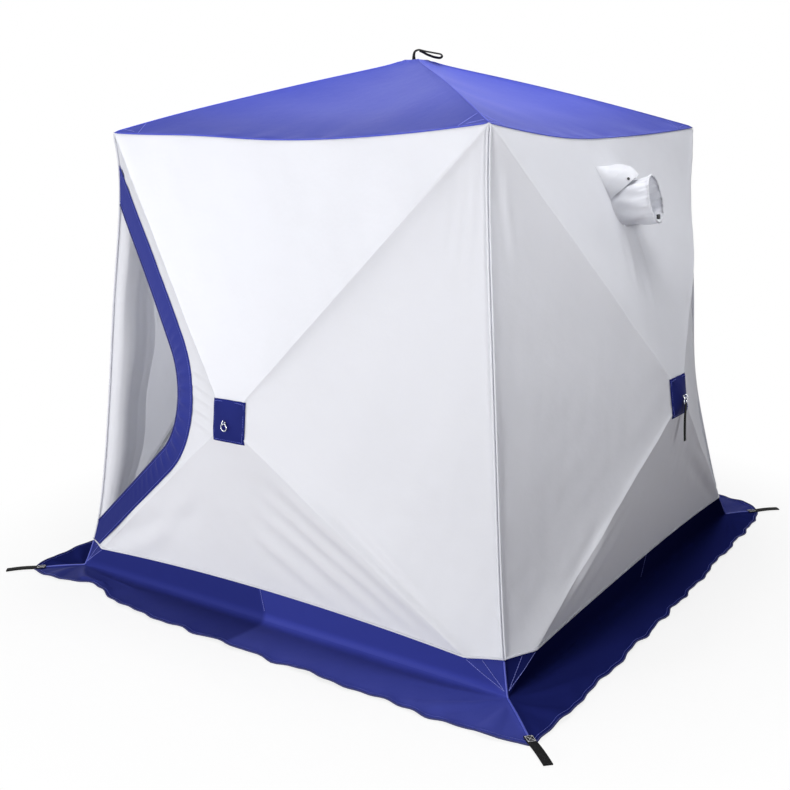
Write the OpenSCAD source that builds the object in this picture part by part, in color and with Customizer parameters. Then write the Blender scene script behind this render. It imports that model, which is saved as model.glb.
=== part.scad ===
// Pop-up ice fishing hut: cloth cube held out by five hubs of sprung rods.
// Origin on the ground at the centre of the plan, +Z up, front wall towards -Y, lengths in mm.

/* [Overall] */
// Width of the square base between the corners on the ground
base_w = 2100; // [1600:10:2600]
// Width of the square at the eaves, corner to corner
eave_w = 1740; // [1300:10:2200]
// Height of the eave corners
eave_h = 1815; // [1500:5:2200]
// Height of the flat top of the roof
apex_h = 2095; // [2000:5:2600]
// Distance across two opposite wall hubs
hub_span = 2410; // [2250:10:2900]
// Height of the wall hubs
hub_h = 815; // [650:5:1000]

/* [Cloth] */
// Modelled thickness of wall, roof and band cloth
cloth_t = 2; // [1:0.1:4]
// How far the corner edges are drawn in towards the middle
corner_bow = 56; // [10:1:80]
// How far the middle of an eave hangs below its corners
eave_dip = 40; // [10:1:80]
// How far the middle of an eave is drawn in
eave_pull = 50; // [10:1:80]
// Height of the dark foot band at the corners
band_h = 112; // [80:1:200]
// How much higher the foot band is at mid side
band_rise = 36; // [0:1:80]

/* [Skirt] */
// Thickness of the snow skirt on the ground
skirt_t = 2.5; // [1:0.1:5]
// Width of the front and back skirts at mid side
skirt_w = 240; // [150:5:400]
// Width of the right and left skirts at mid side
skirt_side_w = 205; // [150:5:400]
// Reach of the skirt past the base, each way, at a corner
skirt_corner = 175; // [80:5:250]
// Seam allowance of the skirt under the foot band
skirt_tuck = 14; // [8:1:30]

/* [Frame] */
// Diameter of the sprung rods
rod_d = 11; // [7:0.5:14]
// Distance from the cloth corner in to the rod's centre line
rod_setback = 13; // [11:0.5:25]
// Length of rod left off before the corner
rod_stop = 32; // [25:1:60]
// Diameter of a hub's moulded disc
hub_d = 68; // [60:1:100]
// Thickness of a hub's moulded disc
hub_t = 30; // [24:1:50]
// Distance from a hub's cloth tip in to the rods' meeting point
hub_depth = 36; // [34:1:60]
// Outside diameter of a rod socket
socket_d = 19; // [17:0.5:26]
// Length of a rod socket past the disc
socket_l = 42; // [20:1:80]
// Length of rod inside its socket and disc
rod_hold = 56; // [40:1:70]

/* [Hub trim] */
// Side of the square patch sewn over each wall hub
patch_w = 150; // [110:1:200]
// Thickness of the hub patches
patch_t = 2; // [1:0.1:4]
// Diameter of the eye's stem
stem_d = 6; // [4:0.5:8]
// Wire diameter of eye and pull ring
wire_d = 4; // [3:0.5:6]
// Middle diameter of the eye
eye_d = 15; // [13:0.5:20]
// Middle diameter of the pull ring
ring_d = 26; // [22:0.5:40]
// Width of the pull strap on the right wall
pull_w = 16; // [10:1:20]
// Hanging length of the pull strap
pull_l = 145; // [80:5:250]
// Thickness of one layer of webbing
web_t = 2; // [1:0.1:3]
// Width of the loop on the roof
loop_w = 20; // [12:1:30]
// Length of the loop on the roof
loop_l = 118; // [60:2:180]
// Height of the loop on the roof
loop_h = 24; // [16:1:40]
// Compass turn of the roof loop
loop_turn = 34; // [0:1:90]

/* [Stake straps] */
// Width of the stake straps
stake_w = 30; // [20:1:40]
// Length of a stake strap past the skirt's corner
stake_l = 112; // [60:2:200]
// Length of a stake strap sewn on to the skirt
stake_sewn = 48; // [30:1:80]

/* [Doorway] */
// Distance from the rods to the outer edge of the door's flap
door_inset = 51; // [40:1:70]
// Width of the flap that edges the doorway
flap_w = 98; // [60:1:120]
// Outer radius of the doorway's nose near the hub
nose_r = 356; // [250:2:450]
// How far the doorway sits below midway between its rods
door_drop = 34; // [0:1:50]
// Thickness of the flap
flap_t = 2.5; // [1:0.1:4]
// Diameter of the rolled door
roll_d = 64; // [45:1:80]
// Height of the rolled door's lower end
roll_low = 275; // [250:5:400]
// Height of the rolled door's upper end
roll_top = 1585; // [1300:5:1600]

/* [Vent] */
// Place of the vent along the right wall, from its middle to the rear
vent_x = 13; // [-150:5:150]
// Height of the vent's centre on the wall
vent_z = 1518; // [1400:1:1560]
// Diameter of the sleeve at the wall
vent_root = 150; // [110:2:180]
// Diameter of the sleeve at its mouth
vent_mouth = 176; // [120:2:220]
// Length of the sleeve
vent_l = 138; // [100:1:260]
// Turn of the sleeve to the rear
vent_turn = 4; // [0:1:30]
// Upward tilt of the sleeve
vent_rise = 12; // [0:1:25]
// Thickness of the drawn hem at the mouth
hem_d = 9; // [6:0.5:14]
// Width of the rain hood over the sleeve
hood_w = 280; // [220:5:360]
// Height of the rain hood
hood_h = 126; // [90:1:140]
// How far the rain hood stands out
hood_out = 70; // [50:2:110]

/* [Hidden] */

$fn = 40;
// Clear gap between pieces that lie on each other
lay_gap = 0.3;
// Clear gap between a rod and its socket, on the diameter
rod_fit = 0.6;
// How far cutting shapes run past what they cut
overrun = 20;
// Steps along one cloth edge
edge_steps = 12;
// Sharpness of the corner edges' turn at their ends
toe_power = 6;
// Part of a wall, from its hub, that the hub holds flat
tip_share = 0.04;
// Rings along the rolled door, and steps round its section
roll_rings = 14;
roll_steps = 12;
// How much thinner the roll is at its two ends
roll_end_share = 0.25;
// Distance from the corner seam to the roll's axis, by its diameter
roll_axis_share = 0.72;
// Steps along the rain hood's free edge
hood_steps = 10;
// Part of the hood's width that lies before the vent's centre
hood_start_share = 0.4;
// Size of the cord lock, by the thickness of the hem that it rides on
lock_width_share = 1.5;
lock_length_share = 2.2;

white = "#eef0f6";
blue = "#3f46a8";
navy = "#2b3190";
black = "#1b1b1d";
grey = "#8d9096";
steel = "#c3c6cb";

base_half = base_w / 2;
eave_half = eave_w / 2;
hub_half = hub_span / 2;
far = hub_span;
// Point that all cloth is thickened towards
centre = [0, 0, eave_h / 2];
hub_point = [0, -hub_half, hub_h];
apex_point = [0, 0, apex_h];
// Depth of the flat tip behind the point where the wall's planes would meet
wall_recess = tip_share * (hub_half - eave_half + eave_pull);

// A point moved straight away from the centre so that cloth there moves out by d
function out_by(p, d) = centre + (p - centre) * (1 + d / hub_half);
function turned(list) = [for (i = [len(list) - 1 : -1 : 0]) list[i]];

// Half width of the tent at share s of the way up a corner edge
function corner_half(s) =
    base_half + (eave_half - base_half) * s - corner_bow * cos(45) * (1 - pow(abs(2 * s - 1), toe_power));
function corner_z(s) = skirt_t + s * (eave_h - skirt_t);
function corner_point(s, side) = [side * corner_half(s), -corner_half(s), corner_z(s)];
// Steps that are closer at both ends of an edge
function eased(i) = (1 - cos(180 * i / edge_steps)) / 2;
// The eave curve, with u from -1 at the left to 1 at the right
function eave_point(u) =
    [u * eave_half, eave_pull * (1 - u * u) - eave_half, eave_h - eave_dip * (1 - u * u)];

// Edge of one wall, from the right foot up, along the eave and down to the left foot
wall_edge = concat(
    [for (i = [0 : edge_steps]) corner_point(eased(i), 1)],
    [for (i = [1 : edge_steps - 1]) eave_point(1 - 2 * i / edge_steps)],
    [for (i = [0 : edge_steps]) corner_point(1 - eased(i), -1)]
);
wall_count = len(wall_edge);
// The wall's cloth runs straight from the hub's flat tip out to that edge
wall_points = concat(
    [hub_point + [0, wall_recess, 0]],
    [for (q = wall_edge) hub_point + tip_share * (q - hub_point)],
    wall_edge
);
wall_faces = concat(
    [for (i = [0 : wall_count - 1]) [0, 1 + i, 1 + (i + 1) % wall_count]],
    [for (i = [0 : wall_count - 1]) let (j = (i + 1) % wall_count)
        [1 + i, 1 + wall_count + i, 1 + wall_count + j, 1 + j]]
);
wall_rim = [for (i = [0 : wall_count - 1]) 1 + wall_count + i];

// One roof panel runs from the hub's flat top down to its eave
roof_edge = [for (i = [0 : edge_steps]) eave_point(2 * i / edge_steps - 1)];
roof_tip = [for (q = roof_edge) [tip_share * q[0], tip_share * q[1], apex_h]];
roof_count = len(roof_edge);
roof_points = concat([apex_point], roof_tip, roof_edge);
roof_faces = concat(
    [for (i = [0 : roof_count - 2]) [0, 1 + i, 2 + i]],
    [for (i = [0 : roof_count - 2]) [1 + i, 1 + roof_count + i, 2 + roof_count + i]],
    [for (i = [0 : roof_count - 2]) [1 + i, 2 + roof_count + i, 2 + i]]
);
roof_rim = concat([0, 1], [for (i = [0 : roof_count - 1]) 1 + roof_count + i], [roof_count]);

// Outward distance of a wall's upper facet at x along the wall and height z
function eave_share(x, z) =
    let (q = x / (z - hub_h), rise = eave_h - hub_h - eave_dip)
    2 * q * rise / (eave_half + sqrt(eave_half * eave_half - 4 * q * q * eave_dip * rise));
function upper_face(x, z) =
    let (e = eave_point(eave_share(x, z)), v = (z - hub_h) / (e[2] - hub_h))
    hub_half + v * (-e[1] - hub_half);

// Curve where the foot band meets the wall
band_bend = base_half * (hub_h - band_h) / (hub_h - skirt_t);
function band_top(x) = band_h + band_rise * max(0, 1 - pow(x / band_bend, 2));
band_curve = [for (i = [0 : 2 * edge_steps]) let (x = band_bend * (i / edge_steps - 1)) [x, band_top(x)]];

// Rod ends, just inside the corners of the cloth
rod_feet = [for (side = [1, -1]) out_by([side * base_half, -base_half, skirt_t], -rod_setback)];
rod_heads = [for (side = [1, -1]) out_by([side * eave_half, -eave_half, eave_h], -rod_setback)];
wall_targets = concat(rod_heads, rod_feet);
roof_targets = [for (a = [0 : 3]) rotate_z(rod_heads[0], 90 * a)];
function rotate_z(p, a) = [p[0] * cos(a) - p[1] * sin(a), p[0] * sin(a) + p[1] * cos(a), p[2]];

wall_hub_centre = hub_point + [0, hub_depth, 0];
roof_hub_centre = apex_point - [0, 0, hub_depth];

// Turns +Z to point along v
module along(v) {
    rotate([0, acos(v[2] / norm(v)), atan2(v[1], v[0])])
        children();
}

// Turns the front wall's shape to the front, right, back or left
module on_side(side) {
    rotate([0, 0, 90 * side])
        children();
}

// A closed sheet between two distances outside the drawn surface
module sheet(points, faces, rim, outer, inner) {
    count = len(points);
    last = len(rim) - 1;
    polyhedron(
        points = concat([for (p = points) out_by(p, outer)], [for (p = points) out_by(p, inner)]),
        faces = concat(
            [for (f = faces) turned(f)],
            [for (f = faces) [for (i = f) i + count]],
            [for (i = [0 : last]) let (a = rim[i], b = rim[(i + 1) % len(rim)]) [a, b, b + count, a + count]]
        )
    );
}

module wall_cloth() {
    sheet(wall_points, wall_faces, wall_rim, 0, -cloth_t);
}

// A layer of cloth laid on the outside of a wall
module wall_layer(thickness) {
    sheet(wall_points, wall_faces, wall_rim, lay_gap + thickness, lay_gap);
}

// All the space from the centre out to just past a wall's cloth
module wall_wedge() {
    count = len(wall_points);
    polyhedron(
        points = concat([for (p = wall_points) out_by(p, lay_gap)], [centre]),
        faces = concat(
            [for (f = wall_faces) turned(f)],
            [for (i = [0 : wall_count - 1]) [wall_rim[i], wall_rim[(i + 1) % wall_count], count]]
        )
    );
}

// A shape drawn as seen from the front, run right through the front half
module through_front() {
    rotate([90, 0, 0])
        linear_extrude(far)
            children();
}

module above_band() {
    through_front()
        polygon(concat(
            [[-far, far], [-far, band_h]], band_curve, [[far, band_h], [far, far]]
        ));
}

module below_band() {
    through_front()
        polygon(concat(
            [[far, -overrun], [far, band_h]], turned(band_curve), [[-far, band_h], [-far, -overrun]]
        ));
}

module stem_hole() {
    translate(hub_point)
        rotate([90, 0, 0])
            cylinder(d = stem_d + 2 * lay_gap, h = 2 * hub_depth, center = true);
}

// The doorway follows the two rods of the left facet, with a round nose at the hub
module door_outline(inset, nose) {
    head = [-eave_half, eave_h] - [0, hub_h];
    foot = [-base_half, skirt_t] - [0, hub_h];
    translate([0, hub_h - door_drop])
        offset(r = nose)
            offset(delta = -inset - nose)
                polygon([[0, 0], 2 * head, 2 * foot]);
}

module doorway() {
    through_front()
        door_outline(door_inset + flap_w, nose_r - flap_w);
}

vent_start = [vent_x, -upper_face(vent_x, vent_z), vent_z];
vent_way = [sin(vent_turn), -cos(vent_turn), tan(vent_rise)];
vent_slope = (vent_mouth - vent_root) / vent_l;

// The sleeve's cone, thinned by wall, from inside the cloth to its mouth
module vent_cone(wall, ends) {
    translate(vent_start)
        along(vent_way)
            translate([0, 0, -overrun * 2])
                cylinder(
                    d1 = vent_root - 2 * overrun * vent_slope - 2 * wall,
                    d2 = vent_mouth + ends * vent_slope - 2 * wall,
                    h = vent_l + 2 * overrun + ends
                );
}

module white_wall() {
    difference() {
        intersection() {
            wall_cloth();
            above_band();
        }
        stem_hole();
    }
}

module front_wall() {
    color(white)
        difference() {
            white_wall();
            doorway();
        }
}

module right_wall() {
    color(white)
        on_side(1)
            difference() {
                white_wall();
                vent_cone(cloth_t, overrun);
            }
}

module back_wall() {
    color(white)
        on_side(2)
            white_wall();
}

module left_wall() {
    color(white)
        on_side(3)
            white_wall();
}

module roof_panel(side) {
    color(blue)
        on_side(side)
            sheet(roof_points, roof_faces, roof_rim, 0, -cloth_t);
}

module foot_band(side) {
    color(navy)
        on_side(side)
            intersection() {
                wall_cloth();
                below_band();
            }
}

// Hem of a skirt as it lies along the front, with u from -1 to 1
function hem_point(u, width) =
    [u * (base_half + skirt_corner), -base_half - skirt_corner - (width - skirt_corner) * (1 - u * u)];

module skirt(side, width) {
    inner = base_half - skirt_tuck;
    hem = [for (i = [0 : 2 * edge_steps]) hem_point(1 - i / edge_steps, width)];
    color(navy)
        on_side(side)
            linear_extrude(skirt_t)
                polygon(concat([[-inner, -inner], [inner, -inner]], hem));
}

module hub_patch(side) {
    color(navy)
        on_side(side)
            difference() {
                intersection() {
                    wall_layer(patch_t);
                    through_front()
                        translate([0, hub_h])
                            square(patch_w, center = true);
                }
                stem_hole();
            }
}

// A moulded hub facing -Y at the origin of its own frame, with a socket for each rod
module hub_body(face_depth, targets, middle) {
    boss_d = hub_d / 2;
    difference() {
        union() {
            rotate([90, 0, 0])
                cylinder(d = hub_d, h = hub_t, center = true);
            rotate([90, 0, 0])
                cylinder(d = boss_d, h = hub_depth - face_depth);
            for (t = targets)
                along(t - middle)
                    cylinder(d = socket_d, h = hub_d / 2 + socket_l);
        }
        for (t = targets)
            along(t - middle)
                translate([0, 0, hub_d / 2 + socket_l - rod_hold])
                    cylinder(d = rod_d + rod_fit, h = rod_hold + overrun);
    }
}

module wall_hub(side) {
    color(black)
        on_side(side)
            translate(wall_hub_centre)
                hub_body(wall_recess + cloth_t + lay_gap, wall_targets, wall_hub_centre);
}

// The roof hub is the same piece, laid with its face up
module roof_hub() {
    to_front = [for (t = roof_targets) roof_hub_centre + tip_forward(t - roof_hub_centre)];
    color(black)
        translate(roof_hub_centre)
            rotate([-90, 0, 0])
                hub_body(cloth_t + lay_gap, to_front, roof_hub_centre);
}
function tip_forward(v) = [v[0], -v[2], v[1]];

module rods(middle, targets) {
    start = hub_d / 2 + socket_l - rod_hold + lay_gap;
    for (t = targets)
        translate(middle)
            along(t - middle) {
                translate([0, 0, start])
                    cylinder(d = rod_d, h = norm(t - middle) - rod_stop - start);
                translate([0, 0, norm(t - middle) - rod_stop])
                    sphere(d = rod_d);
            }
}

module wall_rods(side) {
    color(grey)
        on_side(side)
            rods(wall_hub_centre, wall_targets);
}

module roof_rods() {
    color(grey)
        rods(roof_hub_centre, roof_targets);
}

// Depth of the hub boss's face behind the wall's tip, where the eye is seated
eye_seat = wall_recess + cloth_t + lay_gap;
eye_centre = hub_point - [0, eye_d / 2 + patch_t, 0];
ring_drop = eye_d / 2 - wire_d - lay_gap;
ring_centre = eye_centre - [0, 0, ring_drop + ring_d / 2];

module wire_ring(d) {
    rotate_extrude()
        translate([d / 2, 0])
            circle(d = wire_d);
}

module hub_eyes() {
    stem_l = eye_seat + patch_t;
    color(steel)
        for (side = [0 : 3])
            on_side(side) {
                translate(eye_centre)
                    rotate([0, 90, 0])
                        wire_ring(eye_d);
                translate(hub_point + [0, eye_seat, 0])
                    rotate([90, 0, 0])
                        cylinder(d = stem_d, h = stem_l);
            }
}

module pull_rings() {
    color(steel)
        for (side = [0 : 3])
            on_side(side)
                translate(ring_centre)
                    rotate([90, 0, 0])
                        wire_ring(ring_d);
}

// Doubled webbing hung round the bottom of the right wall's ring
module right_pull_strap() {
    hole_d = wire_d + 2 * lay_gap;
    sag = ring_d / 2 - sqrt(ring_d * ring_d - pull_w * pull_w) / 2;
    color(black)
        on_side(1)
            translate(ring_centre - [pull_w / 2, 0, ring_d / 2])
                rotate([90, 0, 90])
                    linear_extrude(pull_w)
                        difference() {
                            union() {
                                translate([0, sag])
                                    circle(d = hole_d + 2 * web_t);
                                translate([-hole_d / 2 - web_t, 0])
                                    square([hole_d + 2 * web_t, sag]);
                                circle(d = hole_d + 2 * web_t);
                                translate([-web_t, -pull_l])
                                    square([2 * web_t, pull_l]);
                            }
                            translate([0, sag])
                                circle(d = hole_d);
                            translate([-hole_d / 2, 0])
                                square([hole_d, sag]);
                            circle(d = hole_d);
                        }
}

// A band bent to a long ring, with its round ends on the X axis
module long_ring(length, height, thickness) {
    difference() {
        long_round(length, height);
        long_round(length - 2 * thickness, height - 2 * thickness);
    }
}

module long_round(length, height) {
    straight = length - height;
    square([straight, height], center = true);
    for (side = [-1, 1])
        translate([side * straight / 2, 0])
            circle(d = height);
}

module roof_loop() {
    color(black)
        translate([0, 0, apex_h])
            rotate([90, 0, loop_turn])
                linear_extrude(loop_w, center = true)
                    translate([(loop_l - loop_h) / 2, loop_h / 2])
                        long_ring(loop_l, loop_h, web_t);
}

// Webbing sewn on to the skirt's corner and folded back under itself to a loop
module stake_strap(corner) {
    tip = (base_half + skirt_corner) / cos(45);
    bend = skirt_t + web_t;
    color(black)
        on_side(corner)
            rotate([90, 0, -45])
                translate([tip, 0, 0])
                    linear_extrude(stake_w, center = true) {
                        translate([-stake_sewn, skirt_t])
                            square([stake_sewn + stake_l, web_t]);
                        translate([stake_w / 2 + lay_gap, 0])
                            square([stake_l - stake_w / 2 - lay_gap, web_t]);
                        translate([stake_l, bend / 2])
                            intersection() {
                                difference() {
                                    circle(d = bend);
                                    circle(d = bend - 2 * web_t);
                                }
                                translate([0, -bend / 2])
                                    square([bend, bend]);
                            }
                    }
}

module door_flap() {
    color(navy)
        intersection() {
            wall_layer(flap_t);
            through_front()
                difference() {
                    door_outline(door_inset, nose_r);
                    door_outline(door_inset + flap_w, nose_r - flap_w);
                }
        }
}

// Drop-shaped section of the rolled door, with its point at the corner seam
function roll_section(size_share) =
    let (
        r = size_share * roll_d / 2,
        a = size_share * roll_d * roll_axis_share,
        wide = 90 + asin(r / a)
    )
    concat(
        [[0, 0]],
        [for (i = [0 : roll_steps]) let (t = wide * (2 * i / roll_steps - 1)) [a + r * cos(t), r * sin(t)]]
    );
function roll_ring(i) =
    let (
        u = i / roll_rings,
        z = roll_low + u * (roll_top - roll_low),
        s = (z - skirt_t) / (eave_h - skirt_t),
        seam = out_by(corner_point(s, -1), -cloth_t - lay_gap),
        size_share = 1 - roll_end_share * pow(abs(2 * u - 1), toe_power)
    )
    [for (q = roll_section(size_share))
        [seam[0] + (q[0] + q[1]) * cos(45), seam[1] + (q[0] - q[1]) * cos(45), z]];

module rolled_door() {
    count = roll_steps + 2;
    points = [for (i = [0 : roll_rings]) each roll_ring(i)];
    last = count * roll_rings;
    color(white)
        polyhedron(
            points = points,
            faces = concat(
                [[for (j = [0 : count - 1]) j]],
                [[for (j = [count - 1 : -1 : 0]) last + j]],
                [for (i = [0 : roll_rings - 1], j = [0 : count - 1]) let (k = (j + 1) % count, a = i * count)
                    each [[a + j, a + count + j, a + k], [a + k, a + count + j, a + count + k]]]
            )
        );
}

module vent_sleeve() {
    color(white)
        on_side(1)
            difference() {
                union() {
                    difference() {
                        vent_cone(0, 0);
                        vent_cone(cloth_t, overrun);
                    }
                    translate(vent_start)
                        along(vent_way)
                            translate([0, 0, vent_l])
                                rotate_extrude()
                                    translate([vent_mouth / 2 - cloth_t / 2, 0])
                                        circle(d = hem_d);
                }
                wall_wedge();
            }
}

// Place on the upper facet, lifted clear of the wall
function on_upper(x, z, lift) = [x, -upper_face(x, z) - lift, z];

hood_left = vent_x - hood_w * hood_start_share;
hood_top_z = vent_z + vent_root;
// Free edge of the hood: it rises to the right and stands out most at two thirds of its length
function hood_edge(u, lift) =
    let (stand = hood_out * u * u * (1 - u) * 27 / 4)
    on_upper(hood_left + u * hood_w, hood_top_z - hood_h * (1 - u), lift + stand);

// The hood is cut back where the sleeve comes out under it
module vent_hood() {
    base = cloth_t + lay_gap;
    peak = [for (lift = [base, lay_gap]) on_upper(hood_left, hood_top_z, lift)];
    rim = [for (lift = [base, lay_gap]) [for (i = [0 : hood_steps]) hood_edge(i / hood_steps, lift)]];
    count = hood_steps + 2;
    outer = [for (i = [1 : hood_steps]) [0, i + 1, i]];
    color(white)
        on_side(1)
            difference() {
                polyhedron(
                    points = concat([peak[0]], rim[0], [peak[1]], rim[1]),
                    faces = concat(
                        outer,
                        [for (f = outer) [f[0] + count, f[2] + count, f[1] + count]],
                        [for (i = [0 : count - 1]) let (j = (i + 1) % count) [i, j, j + count, i + count]]
                    )
                );
                vent_cone(-lay_gap, overrun);
            }
}

// Cord lock on the drawn hem, at the underside of the mouth
module vent_toggle() {
    color(black)
        on_side(1)
            translate(vent_start)
                along(vent_way)
                    translate([vent_mouth / 2 - cloth_t / 2, 0, vent_l + hem_d / 2 + lay_gap])
                        cylinder(d = hem_d * lock_width_share, h = hem_d * lock_length_share);
}

front_wall();
right_wall();
back_wall();
left_wall();
roof_panel(0);  // roof_front
roof_panel(1);  // roof_right
roof_panel(2);  // roof_back
roof_panel(3);  // roof_left
foot_band(0);  // front_foot_band
foot_band(1);  // right_foot_band
foot_band(2);  // back_foot_band
foot_band(3);  // left_foot_band
skirt(0, skirt_w);  // front_skirt
skirt(1, skirt_side_w);  // right_skirt
skirt(2, skirt_w);  // back_skirt
skirt(3, skirt_side_w);  // left_skirt
hub_patch(0);  // front_hub_patch
hub_patch(1);  // right_hub_patch
hub_patch(2);  // back_hub_patch
hub_patch(3);  // left_hub_patch
wall_hub(0);  // front_hub
wall_hub(1);  // right_hub
wall_hub(2);  // back_hub
wall_hub(3);  // left_hub
roof_hub();
wall_rods(0);  // front_rods
wall_rods(1);  // right_rods
wall_rods(2);  // back_rods
wall_rods(3);  // left_rods
roof_rods();
hub_eyes();
pull_rings();
right_pull_strap();
roof_loop();
stake_strap(0);  // stake_strap_se
stake_strap(1);  // stake_strap_ne
stake_strap(2);  // stake_strap_nw
stake_strap(3);  // stake_strap_sw
door_flap();
rolled_door();
vent_sleeve();
vent_hood();
vent_toggle();
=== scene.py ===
"""Looks of a pop-up ice fishing hut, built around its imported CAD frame.

Each sub-assembly is a class with the sizes it needs. Cloth is numpy surfaces: a grid of points on the walls'
or roof's own form, moved along its normal by folds, then given a thickness.
"""

import logging
import math
from dataclasses import dataclass, field
from enum import Enum

import bpy
import numpy as np
from mathutils import Matrix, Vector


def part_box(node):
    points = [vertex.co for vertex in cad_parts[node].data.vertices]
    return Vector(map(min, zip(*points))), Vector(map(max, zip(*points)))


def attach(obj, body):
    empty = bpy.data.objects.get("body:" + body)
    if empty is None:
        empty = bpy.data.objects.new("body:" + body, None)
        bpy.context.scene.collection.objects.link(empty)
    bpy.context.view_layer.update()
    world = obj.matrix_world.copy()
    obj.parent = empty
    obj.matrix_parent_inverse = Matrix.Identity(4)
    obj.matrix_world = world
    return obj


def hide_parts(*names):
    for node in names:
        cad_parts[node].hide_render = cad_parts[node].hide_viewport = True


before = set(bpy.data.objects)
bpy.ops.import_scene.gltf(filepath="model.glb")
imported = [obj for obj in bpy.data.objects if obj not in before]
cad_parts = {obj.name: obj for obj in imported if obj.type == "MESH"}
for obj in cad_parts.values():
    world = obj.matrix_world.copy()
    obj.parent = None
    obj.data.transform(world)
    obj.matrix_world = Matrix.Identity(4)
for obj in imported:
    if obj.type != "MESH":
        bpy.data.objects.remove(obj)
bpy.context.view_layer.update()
LOG = logging.getLogger("hut")
FLAT_MAP = "flat"
CLOTH_THICK = 0.001  # metres, a little over the real cloth's so that its edge shows
VENT_AT = (0.013, 1.518)  # the vent's middle on the right wall: across and up, in metres
WAVE_PERIOD = 2 * math.pi / 20  # a Wave Texture at scale 1 repeats after this many units


class Side(Enum):
    """The hut's sides, as quarter turns from the front."""

    FRONT = 0
    RIGHT = 1
    BACK = 2
    LEFT = 3

    @property
    def label(self) -> str:
        """The side's name in node names."""
        return self.name.lower()

    def turn(self, points: np.ndarray) -> np.ndarray:
        """Points of the front side, turned to this side.

        Args:
            points: any array whose last axis is x, y, z.

        Returns:
            An array of the same shape.
        """
        x, y, z = np.moveaxis(points, -1, 0)
        turned = [(x, y, z), (-y, x, z), (-x, -y, z), (y, -x, z)][self.value]
        return np.stack(turned, -1)


class Slot(Enum):
    """The record's material slots."""

    WHITE_CLOTH = "white_cloth"
    BLUE_CLOTH = "blue_cloth"
    BLACK_WEBBING = "black_webbing"
    BLACK_PLASTIC = "black_plastic"
    FIBREGLASS = "fibreglass"
    STEEL_WIRE = "steel_wire"


class Held(Enum):
    """How a sheet of cloth is held."""

    STRETCHED = "stretched"
    LAID = "laid"
    GATHERED = "gathered"
    FOLDED = "folded"


def linear(hex_colour: str) -> tuple[float, float, float, float]:
    """An sRGB hex colour as a linear colour.

    Args:
        hex_colour: six hex digits after a hash.

    Returns:
        Red, green, blue and an alpha of 1.
    """
    parts = [int(hex_colour[i:i + 2], 16) / 255 for i in (1, 3, 5)]
    red, green, blue = (c / 12.92 if c <= 0.04045 else ((c + 0.055) / 1.055) ** 2.4 for c in parts)
    return red, green, blue, 1.0


def smooth(value: np.ndarray, low: float, high: float) -> np.ndarray:
    """An S-shaped step from 0 at low to 1 at high.

    Args:
        value: where to take the step.
        low: the start of the step.
        high: the end of the step.

    Returns:
        An array shaped like value.
    """
    t = np.clip((value - low) / (high - low), 0, 1)
    return t * t * (3 - 2 * t)


def eased(count: int, share: float) -> np.ndarray:
    """Places from 0 to 1 that lie closer together at both ends.

    Args:
        count: how many places.
        share: how much closer, from 0 to under 1.

    Returns:
        The places, t less share times sin(2 pi t) over 2 pi.
    """
    t = np.linspace(0, 1, count)
    return t - share * np.sin(2 * np.pi * t) / (2 * np.pi)


def unit(vectors: np.ndarray) -> np.ndarray:
    """Vectors along the last axis, made one long."""
    return vectors / np.linalg.norm(vectors, axis=-1, keepdims=True)


def run_along(path: np.ndarray) -> np.ndarray:
    """The distance along a path at each of its points, from 0."""
    return np.concatenate([[0], np.cumsum(np.linalg.norm(np.diff(path, axis=0), axis=1))])


def rounded(marks: np.ndarray, count: int, spread: float, near: int) -> tuple[np.ndarray, list[np.ndarray]]:
    """A line through marks with its bends rounded: each point is a bell-weighted mean of its neighbours.

    Args:
        marks: the marks, one a row.
        count: points on the line.
        spread: how far out on the bell curve the furthest neighbours lie.
        near: how many neighbours count on each side.

    Returns:
        Even distances along the marks, and the line's coordinates, one array for each axis.
    """
    run = run_along(marks)
    at = np.linspace(0, run[-1], count)
    bell = np.exp(-np.linspace(-spread, spread, 2 * near + 1) ** 2)
    bell = bell / bell.sum()
    padded = [np.pad(np.interp(at, run, axis), near, mode="edge") for axis in marks.T]
    return at, [np.convolve(axis, bell, "valid") for axis in padded]


def waves(x: np.ndarray, y: np.ndarray, size: float, seed: int) -> np.ndarray:
    """Soft unevenness: the mean of nine sine waves in random directions.

    Args:
        x: first place on the cloth in metres.
        y: second place on the cloth in metres.
        size: the waves' length in metres.
        seed: picks the directions and phases.

    Returns:
        Heights of about -1 to 1.
    """
    pick = np.random.default_rng(seed)
    turn, phase = pick.uniform(0, 2 * np.pi, (2, 9))
    pitch = 2 * np.pi / (size * pick.uniform(0.7, 1.6, 9))
    along = x[..., None] * np.cos(turn) + y[..., None] * np.sin(turn)
    return np.sin(along * pitch + phase).mean(-1) * 1.8


@dataclass(frozen=True)
class Settle:
    """A small move of the cloth round a place, in metres; it fades as a bell curve with its reach."""

    centre: tuple[float, float, float]
    reach: tuple[float, float, float]
    move: tuple[float, float, float]


# how the real hut stands away from its even form: the far right edge is drawn in, the front left edge
# stands out, one far rod is sprung out, and the two eaves hang a little higher and lower
SETTLES = (
    Settle((0.95, 0.95, 0.72), (0.22, 0.22, 0.36), (-0.028, -0.028, 0.0)),
    Settle((-0.95, -0.95, 1.25), (0.22, 0.22, 0.40), (-0.008, -0.008, 0.0)),
    Settle((1.06, 0.38, 1.25), (0.40, 0.24, 0.27), (0.026, 0.0, 0.0)),
    Settle((-0.45, -0.85, 1.79), (0.30, 0.25, 0.20), (0.0, 0.0, 0.014)),
    Settle((0.85, -0.20, 1.78), (0.25, 0.35, 0.12), (0.0, 0.0, -0.008)),
)


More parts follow.
